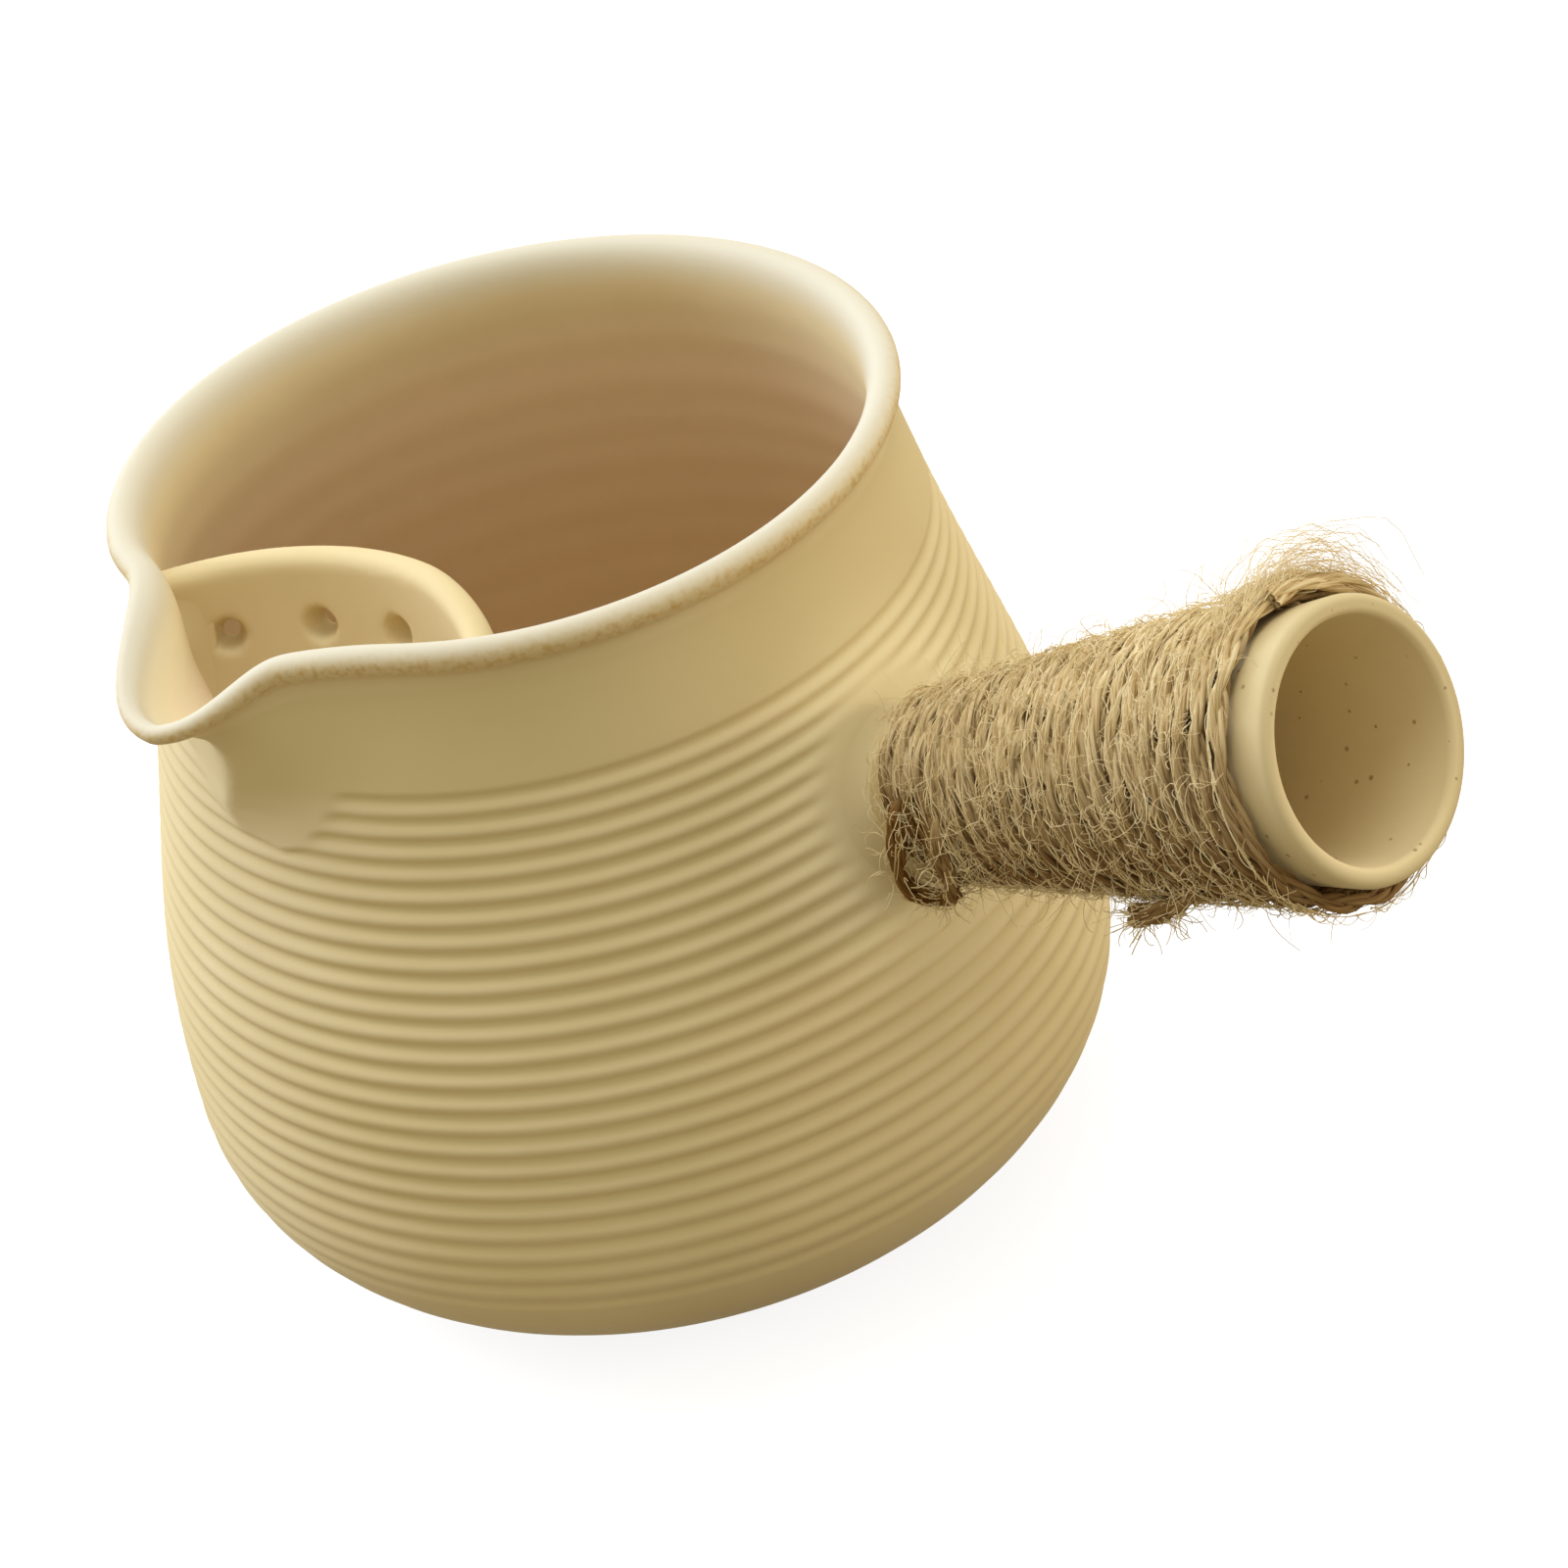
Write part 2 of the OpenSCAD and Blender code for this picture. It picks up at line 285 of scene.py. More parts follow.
@dataclass(frozen=True)
class ClayFinish:
    """Unglazed buff stoneware, thrown and sponged: matte, with fine grit, soft mottling and iron specks."""

    name: str = "buff_stoneware"
    pale: str = "#E3D1A3"
    deep: str = "#DAC694"
    # Painted shade, laid in the grooves and on the plain band under the rim
    groove: str = "#D8C591"
    # Painted shade, warmer and darker down the pot's inside
    inside: str = "#E1C8A1"
    # Painted highlight: the whiter tone of the lit top of the rim
    rim: str = "#D6CFB9"
    # Paler slip round the handle's root: partly slip and partly painted light against the handle's shade
    slip: str = "#F0E1B2"
    # A darker line along the rim's bead: partly wear and partly painted shadow under the bead
    wear_and_shadow: str = "#C9A869"
    speck: str = "#8A6B3F"
    roughness: float = 0.72
    mottle_mm: float = 26.0
    grit_mm: float = 0.9
    speck_mm: float = 5.5
    speck_share: float = 0.02
    speck_size: float = 0.07
    wear_and_shadow_mm: float = 0.8
    grit_height_mm: float = 0.035

    def flecks(self, tree: bpy.types.NodeTree, place: bpy.types.NodeSocket) -> bpy.types.NodeSocket:
        """Scatters iron specks of uneven size over the clay.

        Args:
            tree: Node tree of the material.
            place: Object coordinates.

        Returns:
            Share by which a speck covers the clay.
        """
        cells = add_node(
            tree, "ShaderNodeTexVoronoi", {"Vector": place, "Scale": per_mm(self.speck_mm), "Randomness": 1.0}
        )
        tint = add_node(tree, "ShaderNodeSeparateColor", {"Color": cells.outputs["Color"]})
        size = add_node(
            tree, "ShaderNodeMapRange", {"Value": tint.outputs["Green"], "To Min": 0.35, "To Max": 1.2}
        ).outputs["Result"]
        reach = add_node(
            tree, "ShaderNodeMath", {0: cells.outputs["Distance"], 1: size}, operation="DIVIDE"
        ).outputs["Value"]
        edge = {"From Min": self.speck_size * 0.5, "From Max": self.speck_size, "To Min": 0.7, "To Max": 0.0}
        dot = add_node(tree, "ShaderNodeMapRange", {"Value": reach, **edge}).outputs["Result"]
        rare = add_node(
            tree,
            "ShaderNodeMath",
            {0: tint.outputs["Red"], 1: 1.0 - self.speck_share},
            operation="GREATER_THAN",
        ).outputs["Value"]
        return add_node(tree, "ShaderNodeMath", {0: dot, 1: rare}, operation="MULTIPLY").outputs["Value"]

    def make(self) -> bpy.types.Material:
        """Builds the material.

        Returns:
            The material, on Object coordinates and the piece's own attributes, which its layers name.
        """
        material, tree = new_material(self.name)
        place = add_node(tree, "ShaderNodeTexCoord").outputs["Object"]
        mottle = add_node(
            tree, "ShaderNodeTexNoise", {"Vector": place, "Scale": per_mm(self.mottle_mm), "Detail": 4.0}
        ).outputs["Fac"]
        cloud = add_node(
            tree, "ShaderNodeMapRange", {"Value": mottle, "From Min": 0.3, "From Max": 0.7}
        ).outputs["Result"]
        patches = add_node(
            tree, "ShaderNodeTexNoise", {"Vector": place, "Scale": per_mm(self.wear_and_shadow_mm), "Detail": 2.0}
        ).outputs["Fac"]
        # Patchy darker line along the bead: partly rubbed wear and partly painted shadow under the bead
        bare = add_node(
            tree, "ShaderNodeMapRange", {"Value": patches, "From Min": 0.45, "From Max": 0.7, "To Min": 0.25}
        ).outputs["Result"]
        line = add_node(tree, "ShaderNodeAttribute", attribute_name="bead").outputs["Fac"]
        wear_and_shadow_line = add_node(tree, "ShaderNodeMath", {0: bare, 1: line}, operation="MULTIPLY").outputs["Value"]
        fleck = self.flecks(tree, place)
        # Each layer covers the ones before it by its share: groove and inside are painted shade, rim is a
        # painted highlight on the pot and painted shade on the handle, slip is paler slip that is partly
        # painted light, and the rubbed line is partly wear and partly painted shadow
        layers = [(cloud, self.deep)]
        painted_and_slip_tones = {"groove": self.groove, "slip": self.slip, "rim": self.rim, "inside": self.inside}
        for name, tone in painted_and_slip_tones.items():
            layers.append((add_node(tree, "ShaderNodeAttribute", attribute_name=name).outputs["Fac"], tone))
        layers += [(wear_and_shadow_line, self.wear_and_shadow), (fleck, self.speck)]
        colour: Any = linear(self.pale)
        for share, tone in layers:
            colour = add_node(
                tree, "ShaderNodeMix", {"Factor": share, 6: colour, 7: linear(tone)}, data_type="RGBA"
            ).outputs[2]
        grit = add_node(
            tree,
            "ShaderNodeTexNoise",
            {"Vector": place, "Scale": per_mm(self.grit_mm), "Detail": 3.0, "Roughness": 0.65},
        ).outputs["Fac"]
        pitted = add_node(tree, "ShaderNodeMath", {0: grit, 1: fleck}, operation="SUBTRACT").outputs["Value"]
        bump = add_node(
            tree,
            "ShaderNodeBump",
            {"Height": pitted, "Strength": 0.6, "Distance": self.grit_height_mm * MM},
        ).outputs["Normal"]
        rough = add_node(
            tree,
            "ShaderNodeMapRange",
            {"Value": grit, "To Min": self.roughness - 0.06, "To Max": self.roughness + 0.1},
        ).outputs["Result"]
        shader = add_node(
            tree,
            "ShaderNodeBsdfPrincipled",
            {"Base Color": colour, "Roughness": rough, "Normal": bump, "IOR": 1.5, "Specular IOR Level": 0.3},
        ).outputs["BSDF"]
        add_node(tree, "ShaderNodeOutputMaterial", {"Surface": shader})
        return material


@dataclass(frozen=True)
class JuteFinish:
    """Spun jute: coarse, dull tan bast fibres in pale and dark streaks along each yarn, with painted shade
    multiplied in underneath and between turns.
    """

    name: str = "spun_jute"
    pale: str = "#FAECC4"
    tan: str = "#E2CA96"
    dark: str = "#AA8957"
    # Painted shade: tone multiplied into the twine underneath, between turns, by the root and towards the
    # ring
    painted_shade: str = "#927446"
    fibre_mm: float = 0.2
    fibre_run_mm: float = 6.0
    relief_mm: float = 0.2
    roughness: float = 0.88

    def make(self) -> bpy.types.Material:
        """Builds the material.

        Returns:
            The material, whose streaks follow the yarn's own fibre attribute.
        """
        material, tree = new_material(self.name)
        place = add_node(tree, "ShaderNodeAttribute", attribute_name="fibre").outputs["Vector"]
        across = per_mm(self.fibre_mm)
        stretched = add_node(
            tree, "ShaderNodeMapping", {"Vector": place, "Scale": (per_mm(self.fibre_run_mm), across, across)}
        ).outputs["Vector"]
        streak = add_node(
            tree, "ShaderNodeTexNoise", {"Vector": stretched, "Scale": 1.0, "Detail": 3.0, "Roughness": 0.6}
        ).outputs["Fac"]
        colour: Any = linear(self.dark)
        for start, tone in ((0.3, self.tan), (0.5, self.pale)):
            share = add_node(
                tree, "ShaderNodeMapRange", {"Value": streak, "From Min": start, "From Max": start + 0.2}
            ).outputs["Result"]
            colour = add_node(
                tree, "ShaderNodeMix", {"Factor": share, 6: colour, 7: linear(tone)}, data_type="RGBA"
            ).outputs[2]
        # Painted shade: the yarn's marked share multiplies its colour by the shade tone
        painted_shade_share = add_node(tree, "ShaderNodeAttribute", attribute_name="painted_shade").outputs["Fac"]
        painted_shade_colour = add_node(
            tree,
            "ShaderNodeMix",
            {"Factor": painted_shade_share, 6: colour, 7: linear(self.painted_shade)},
            data_type="RGBA",
            blend_type="MULTIPLY",
        ).outputs[2]
        bump = add_node(
            tree, "ShaderNodeBump", {"Height": streak, "Strength": 0.9, "Distance": self.relief_mm * MM}
        ).outputs["Normal"]
        shader = add_node(
            tree,
            "ShaderNodeBsdfPrincipled",
            {"Base Color": painted_shade_colour, "Roughness": self.roughness, "Normal": bump, "Specular IOR Level": 0.2},
        ).outputs["BSDF"]
        add_node(tree, "ShaderNodeOutputMaterial", {"Surface": shader})
        return material


@dataclass(frozen=True)
class FibreFinish:
    """Single jute fibres: dry and dull, a little lighter or darker from one place to the next."""

    name: str
    colour: str
    other: str
    drift_mm: float = 2.5
    roughness: float = 0.75

    def make(self) -> bpy.types.Material:
        """Builds the material.

        Returns:
            The material, on Object coordinates.
        """
        material, tree = new_material(self.name)
        place = add_node(tree, "ShaderNodeTexCoord").outputs["Object"]
        drift = add_node(
            tree, "ShaderNodeTexNoise", {"Vector": place, "Scale": per_mm(self.drift_mm)}
        ).outputs["Fac"]
        spread = add_node(
            tree, "ShaderNodeMapRange", {"Value": drift, "From Min": 0.3, "From Max": 0.7}
        ).outputs["Result"]
        colour = add_node(
            tree,
            "ShaderNodeMix",
            {"Factor": spread, 6: linear(self.colour), 7: linear(self.other)},
            data_type="RGBA",
        ).outputs[2]
        shader = add_node(
            tree,
            "ShaderNodeBsdfPrincipled",
            {"Base Color": colour, "Roughness": self.roughness, "Specular IOR Level": 0.3},
        ).outputs["BSDF"]
        add_node(tree, "ShaderNodeOutputMaterial", {"Surface": shader})
        return material


@dataclass
class PotBody:
    """The thrown pot: flat foot, ribbed belly, plain band, rolled rim and a lip pulled out of the rim."""

    foot_r: float = 26.5
    belly_r: float = 54.0
    belly_z: float = 25.0
    neck_r: float = 41.8
    upright_pull: float = 0.38
    lean_pull: float = 0.44
    lean_width: float = 0.53
    rim_z: float = 95.4
    rim_c: float = 42.2
    wall: float = 4.4
    rim_wall: float = 2.6
    base_t: float = 5.0
    inner_turn_z: float = 88.0
    fillet_z: float = 91.6
    rim_inner: tuple[tuple[float, float], ...] = ((39.2, 94.2), (40.4, 97.5), (42.5, 97.6))
    rim_edge: tuple[tuple[float, float], ...] = ((42.5, 97.6), (43.9, 97.7), (44.9, 95.9), (43.5, 94.5))
    fillet_pull: tuple[float, float] = (0.7, 0.6)
    fillet_lift: float = 2.0
    fillet_stand: float = 0.02
    plain_band: float = 16.0
    throwing_pitch: float = 6.2
    throwing_depth: float = 0.1
    unevenness: float = 0.1
    # Depths over which the painted shade darkens the pot's inside, reaching full shade nearer the rim behind
    # the lip
    inner_fade: float = 18.0
    lip_fade: float = 6.0
    # Height from which the painted highlight whitens the rim's inner face
    rim_fade_z: float = 92.0
    # Height and width of the darker line on the bead, partly wear and partly painted shadow; the painted rim
    # highlight starts on the outer face from that height
    bead_line_z: float = 95.6
    bead_line_w: float = 1.2
    # Share of painted shade on the plain band under the rim, where the rim shades it
    band_shade: float = 0.7
    # Reach of the paler slip round the handle's root, partly painted light against its shade
    slip_and_painted_light_r: float = 10.0
    slip_and_painted_light_fade: float = 16.0
    smooth_r: float = 11.5
    smooth_fade: float = 4.5
    rib_count: int = 24
    rib_pitch: float = 2.42
    rib_growth: float = 0.026
    rib_depth: float = 0.52
    rib_lead: float = 0.6
    rib_low_z: float = 12.5
    rib_sharpness: float = 1.25
    rib_uneven: float = 0.18
    faint_rib: float = 17.0
    faint_ribs: float = 6.0
    faint_share: float = 0.55
    lip_azimuth: float = -97.5
    lip_reach: float = 11.2
    lip_drop: float = 5.1
    lip_left: float = 15.0
    lip_left_power: float = 2.5
    lip_right: float = 8.6
    lip_right_power: float = 3.0
    lip_steep: float = 0.55
    lip_foot: float = 30.0
    lip_thin: float = 0.38
    rim_rise: float = 0.45
    rise_turn: float = 26.0
    rise_width: float = 17.0
    pinch_depth: float = 1.0
    pinch_turn: float = -25.0
    pinch_width: float = 7.0
    wide_reach: float = 1.6
    wide_turn: float = -60.0
    wide_width: float = 45.0
    keel_turn: float = -1.5
    keel_sway: float = 4.0
    keel_sway_from: float = 0.2
    keel_share: float = 0.38
    keel_left: float = 7.0
    keel_power: float = 1.3
    keel_foot: float = 16.0
    beard_turn: float = 5.5
    beard_end_z: float = 71.9
    beard_left: float = 7.0
    beard_left_fade: float = 14.0
    beard_right: float = 4.37
    beard_right_fade: float = 3.0
    lip_low_z: float = 72.0
    lip_inner_low_z: float = 70.0
    lip_high_z: float = 94.5
    inner_power: float = 3.2
    inner_rise: float = 0.5
    outer_power: float = 5.0
    keel_top_power: float = 3.0
    lift_power: float = 3.0
    handle_z: float = 62.4
    turns: int = 256
    crowding: float = 0.5
    side_steps: int = 200
    floor_steps: int = 8
    corner_steps: int = 14
    wall_steps: int = 40
    bend_steps: int = 10
    fillet_steps: int = 7
    band_steps: int = 10
    rib_steps: int = 8
    foot_corner_steps: int = 12
    foot_steps: int = 6
    side: list[tuple[float, float]] = field(default_factory=list)

    def __post_init__(self) -> None:
        """Works out the side's curve from the belly to the neck."""
        height = self.rim_z - self.belly_z
        lean = self.neck_r + self.lean_width * (self.belly_r - self.neck_r)
        controls = [
            (self.belly_r, self.belly_z),
            (self.belly_r, self.belly_z + self.upright_pull * height),
            (lean, self.belly_z + self.lean_pull * height),
            (self.neck_r, self.rim_z),
        ]
        self.side = [bezier(controls, i / self.side_steps) for i in range(self.side_steps + 1)]

    def outer_radius(self, z: float) -> float:
        """Outer radius of the plain pot, without ribs and lip.

        Args:
            z: Height.

        Returns:
            The radius at that height.
        """
        if z <= self.belly_z:
            cosine = max(0.0, 1.0 - z / self.belly_z)
            return self.foot_r + (self.belly_r - self.foot_r) * math.sqrt(1.0 - cosine * cosine)
        i = min(len(self.side) - 1, bisect.bisect_left(self.side, z, key=lambda p: p[1]))
        (r0, z0), (r1, z1) = self.side[i - 1], self.side[i]
        return mix(r0, r1, min(1.0, (z - z0) / (z1 - z0)))

    def wall_at(self, z: float) -> float:
        """Thickness of the wall, which thins from the belly to the rim."""
        share = min(1.0, max(0.0, (z - self.belly_z) / (self.rim_z - self.belly_z)))
        return mix(self.wall, self.rim_wall, share)

    def inner_radius(self, z: float) -> float:
        """Radius of the plain pot's inside at a height above the rounded corner."""
        return self.outer_radius(z) - self.wall_at(z)

    def inner_profile(self, inset: float, top_z: float) -> Profile:
        """Line of the pot's inside from the axis to a height.

        Args:
            inset: Distance that the line is drawn in from the wall.
            top_z: Height at which the line ends.

        Returns:
            The line's points.
        """
        floor_z = self.base_t + inset
        corner_r = self.belly_r - self.wall - inset
        points = [(self.foot_r * i / self.floor_steps, floor_z) for i in range(self.floor_steps)]
        for i in range(self.corner_steps):
            turn = math.pi / 2 * i / self.corner_steps
            r = self.foot_r - inset + (corner_r - self.foot_r + inset) * math.sin(turn)
            points.append((r, floor_z + (self.belly_z - floor_z) * (1.0 - math.cos(turn))))
        for i in range(self.wall_steps + 1):
            z = mix(self.belly_z, top_z, i / self.wall_steps)
            points.append((self.inner_radius(min(z, self.rim_z)) - inset, z))
        return points

    def profile(self) -> Profile:
        """Works out the pot's half section.

        Returns:
            The section from the inside of the base over the rim to the middle of the foot.
        """
        points = self.inner_profile(0.0, self.inner_turn_z)
        for bend in ((points[-1], *self.rim_inner), self.rim_edge):
            points += [bezier(bend, i / self.bend_steps) for i in range(1, self.bend_steps + 1)]
        neck = self.outer_radius(self.fillet_z)
        start_r, start_z = points[-1]
        fillet = [
            (start_r, start_z),
            (start_r - self.fillet_pull[0], start_z - self.fillet_pull[1]),
            (neck + self.fillet_stand, self.fillet_z + self.fillet_lift),
            (neck, self.fillet_z),
        ]
        points += [bezier(fillet, i / self.fillet_steps) for i in range(1, self.fillet_steps + 1)]
        first_rib = self.rim_z - self.plain_band + self.rib_lead * self.rib_pitch
        last_rib = self.groove_z(self.rib_count - 1.0 + self.rib_lead)
        heights = self.steps_down(self.fillet_z, first_rib, self.band_steps)
        heights += self.steps_down(first_rib, last_rib, self.rib_steps * self.rib_count)
        points += [(self.outer_radius(z), z) for z in heights]
        turn_end = math.acos(1.0 - last_rib / self.belly_z)
        for i in range(1, self.foot_corner_steps + 1):
            turn = turn_end * (1.0 - i / self.foot_corner_steps)
            r = self.foot_r + (self.belly_r - self.foot_r) * math.sin(turn)
            points.append((r, self.belly_z * (1.0 - math.cos(turn))))
        points += [(self.foot_r * (1.0 - i / self.foot_steps), 0.0) for i in range(1, self.foot_steps + 1)]
        return points

    @staticmethod
    def steps_down(start: float, end: float, count: int) -> list[float]:
        """Even steps from start, which is left out, to end."""
        return [mix(start, end, i / count) for i in range(1, count + 1)]

    def groove_z(self, number: float) -> float:
        """Height of a groove, counted from 0 at the top."""
        down = number * self.rib_pitch + self.rib_growth * number * (number - 1.0) / 2.0
        return self.rim_z - self.plain_band - down

    def groove_number(self, z: float) -> float:
        """Numbers the groove at a height.

        Args:
            z: Height on the wall.

        Returns:
            The number from 0 at the top, with a fraction between grooves.
        """
        half = self.rib_growth / 2.0
        slope = self.rib_pitch - half
        down = self.rim_z - self.plain_band - z
        return (math.sqrt(max(0.0, slope * slope + 4.0 * half * down)) - slope) / (2.0 * half)

    def from_lip(self, azimuth: float) -> float:
        """Angle from the lip's middle, positive towards the handle."""
        return (azimuth - self.lip_azimuth + 180.0) % 360.0 - 180.0

    def lip_bell(self, away: float, rise: float = 1.0) -> float:
        """Share of the lip's full reach.

        Args:
            away: Angle from the lip's middle.
            rise: 1 at the rim, less down the keel, which has a sharp left edge and a flat right side.

        Returns:
            The share, 1 at the tip.
        """
        sway = math.sin(math.pi * (rise - self.keel_sway_from) / (1.0 - self.keel_sway_from))
        away -= self.keel_turn * (1.0 - rise) + self.keel_sway * max(0.0, sway)
        if away > 0:
            steep = self.lip_steep * rise * rise
            foot = max(0.0, 1.0 - away / mix(self.keel_foot, self.lip_foot, rise)) ** 2
            return mix(foot, math.exp(-((away / self.lip_right) ** self.lip_right_power)), steep)
        width = mix(self.keel_left, self.lip_left, rise * rise)
        return math.exp(-((-away / width) ** mix(self.keel_power, self.lip_left_power, rise * rise)))

    def rim_radius(self, azimuth: float, rise: float = 1.0) -> float:
        """Finds the rim in plan, with the lip, the pinch left of it and a slightly wide far side.

        Args:
            azimuth: Direction from the pot's axis.
            rise: 1 at the rim, less down the keel.

        Returns:
            Radius of the middle of the rim's bead.
        """
        away = self.from_lip(azimuth)
        pinch = self.pinch_depth * hump(away - self.pinch_turn, self.pinch_width)
        wide = self.wide_reach * hump(self.from_lip(azimuth - self.wide_turn), self.wide_width)
        return self.rim_c + self.lip_reach * self.lip_bell(away, rise) - pinch + wide

    def rim_point(self, azimuth: float, rise: float = 1.0) -> Vector:
        """Point of the rim's middle line in plan."""
        turn = math.radians(azimuth)
        return Vector((math.cos(turn), math.sin(turn))) * self.rim_radius(azimuth, rise)

    def rim_normal(self, azimuth: float, rise: float = 1.0) -> Vector:
        """Outward direction across the rim's middle line in plan."""
        run = self.rim_point(azimuth + 0.2, rise) - self.rim_point(azimuth - 0.2, rise)
        return Vector((run.y, -run.x)).normalized()

    def smoothed(self, azimuth: float, z: float) -> float:
        """Share of a groove's depth left after the lip's keel and the handle's slip are smoothed over it.

        Args:
            azimuth: Direction on the wall.
            z: Height on the wall.

        Returns:
            1 on the free wall, 0 where the wall is smooth.
        """
        keel = self.from_lip(azimuth) - self.beard_turn
        over_end = max(0.0, z - self.beard_end_z)
        spread, fade = self.beard_left, self.beard_left_fade
        if keel > 0:
            spread, fade = self.beard_right, self.beard_right_fade
        beard = ease((abs(keel) - spread * math.sqrt(over_end)) / fade + 0.5)
        if over_end == 0.0:
            beard = 1.0
        across = math.radians(azimuth) * self.outer_radius(z)
        slip = ease((math.hypot(across, z - self.handle_z) - self.smooth_r) / self.smooth_fade)
        return beard * slip

    def groove_share(self, z: float) -> float:
        """Tells how deep the wall is cut at a height.

        Args:
            z: Height on the wall.

        Returns:
            Share of the full depth, 0 on a rib and about 1 in a groove.
        """
        number = self.groove_number(z)
        if number < -0.5 or number > self.rib_count - 0.5:
            return 0.0
        wave = (0.5 + 0.5 * math.cos(FULL_TURN * number)) ** self.rib_sharpness
        fade = mix(1.0, self.faint_share, ease((number - self.faint_rib) / self.faint_ribs))
        return wave * fade * (1.0 + self.rib_uneven * waver(round(number) * 1.7, 3.1))

    def face_of(self, r: float, z: float) -> Side:
        """Tells which face of the wall a point of the plain pot lies on.

        Args:
            r: Distance of the point from the pot's axis.
            z: Height of the point.

        Returns:
            The face.
        """
        if z > self.fillet_z:
            return Side.OUTER if r > self.rim_c else Side.INNER
        return Side.OUTER if r > self.outer_radius(z) - 0.5 * self.wall_at(z) else Side.INNER

    def pulled(self, co: Vector, face: Side) -> Vector:
        """Moves a point of the plain pot as the lip is pulled out of the rim.

        Args:
            co: Point in millimetres.
            face: Face of the wall that it lies on.

        Returns:
            The moved point.
        """
        low = self.lip_low_z if face is Side.OUTER else self.lip_inner_low_z
        height = min(1.0, max(0.0, (co.z - low) / (self.lip_high_z - low)))
        if height == 0.0:
            return co
        share = height**self.inner_power
        rise = mix(1.0, height, self.inner_rise)
        if face is Side.OUTER:
            keel = 1.0 - (1.0 - height) ** self.keel_top_power
            share = mix(height**self.outer_power, keel, self.keel_share)
            rise = height
        azimuth = math.degrees(math.atan2(co.y, co.x))
        away = self.from_lip(azimuth)
        bell = self.lip_bell(away, rise)
        plan = Vector((co.x, co.y))
        thin = 1.0 - self.lip_thin * bell
        across = (plan.length - self.rim_c) * thin
        goal = self.rim_point(azimuth, rise) + self.rim_normal(azimuth, rise) * across
        plan = plan.lerp(goal, share)
        edge_z = self.rim_edge[-1][1]
        z = edge_z + (co.z - edge_z) * thin if co.z > edge_z else co.z
        lift = self.rim_rise * hump(away - self.rise_turn, self.rise_width) - self.lip_drop * bell
        return Vector((plan.x, plan.y, z + lift * height**self.lift_power))

    def build(self) -> bpy.types.Mesh:
        """Spins the section, cuts the ribs and pulls the lip.

        Returns:
            The pot's mesh, with the attributes that its finish reads.
        """
        bm = spun(self.profile(), self.turns)
        # groove and inside carry painted shade, rim a painted highlight, slip paler slip that is partly
        # painted light, and bead a darker line that is partly wear and partly painted shadow
        names = ("groove", "inside", "bead", "rim", "slip")
        groove, inside, bead, rim, slip = [bm.verts.layers.float.new(name) for name in names]
        middle = math.radians(self.lip_azimuth)
        for vert in bm.verts:
            co = vert.co / MM
            r = math.hypot(co.x, co.y)
            if r < ON_AXIS_MM:
                continue
            # The columns crowd round the lip, where the wall bends most
            even = (math.atan2(co.y, co.x) - middle + math.pi) % FULL_TURN - math.pi
            turn = middle + even - self.crowding * math.sin(even)
            face = self.face_of(r, co.z)
            fade_z = self.rim_fade_z if face is Side.INNER else self.bead_line_z
            # Painted highlight: the rim's lit top is whitened on both faces
            vert[rim] = ease((co.z - fade_z) / (self.rim_edge[1][1] - fade_z))
            if face is Side.INNER:
                # Painted shade down the pot's inside, reaching full shade nearer the rim behind the lip
                bell = self.lip_bell(self.from_lip(math.degrees(turn)))
                vert[inside] = ease((self.rim_z - co.z) / mix(self.inner_fade, self.lip_fade, bell))
            elif co.z > self.fillet_z:
                # Darker line on the bead, partly wear and partly painted shadow under it
                vert[bead] = hump(co.z - self.bead_line_z, self.bead_line_w)
            if face is Side.OUTER and self.rib_low_z < co.z < self.fillet_z:
                azimuth = (math.degrees(turn) + 180.0) % 360.0 - 180.0
                cut = self.groove_share(co.z) * self.smoothed(azimuth, co.z)
                from_root = math.hypot(math.radians(azimuth) * r, co.z - self.handle_z)
                # Paler slip round the handle's root, partly painted light against its shade
                vert[slip] = 1.0 - ease((from_root - self.slip_and_painted_light_r) / self.slip_and_painted_light_fade)
                r -= self.rib_depth * cut
                # Painted shade in the grooves and on the plain band under the rim
                vert[groove] = max(cut, self.band_shade * ease((co.z - self.groove_z(0.5)) / self.rib_pitch))
            elif face is Side.INNER and self.belly_z < co.z < self.inner_turn_z:
                ridge = math.sin(FULL_TURN * co.z / self.throwing_pitch + waver(co.z * 0.11, 7.0))
                r += self.throwing_depth * ridge
            r += self.unevenness * waver(math.cos(turn) * 1.3, math.sin(turn) * 1.3, co.z * 0.03)
            moved = self.pulled(Vector((r * math.cos(turn), r * math.sin(turn), co.z)), face)
            vert.co = moved * MM
        bmesh.ops.recalc_face_normals(bm, faces=bm.faces[:])
        return mesh_from(bm, "pot_body")

    def dress(self, clay: bpy.types.Material) -> None:
        """Builds the pot and places it in clay."""
        place_piece("thrown_pot", self.build(), [clay], Slot.CLAY, "pot_body")


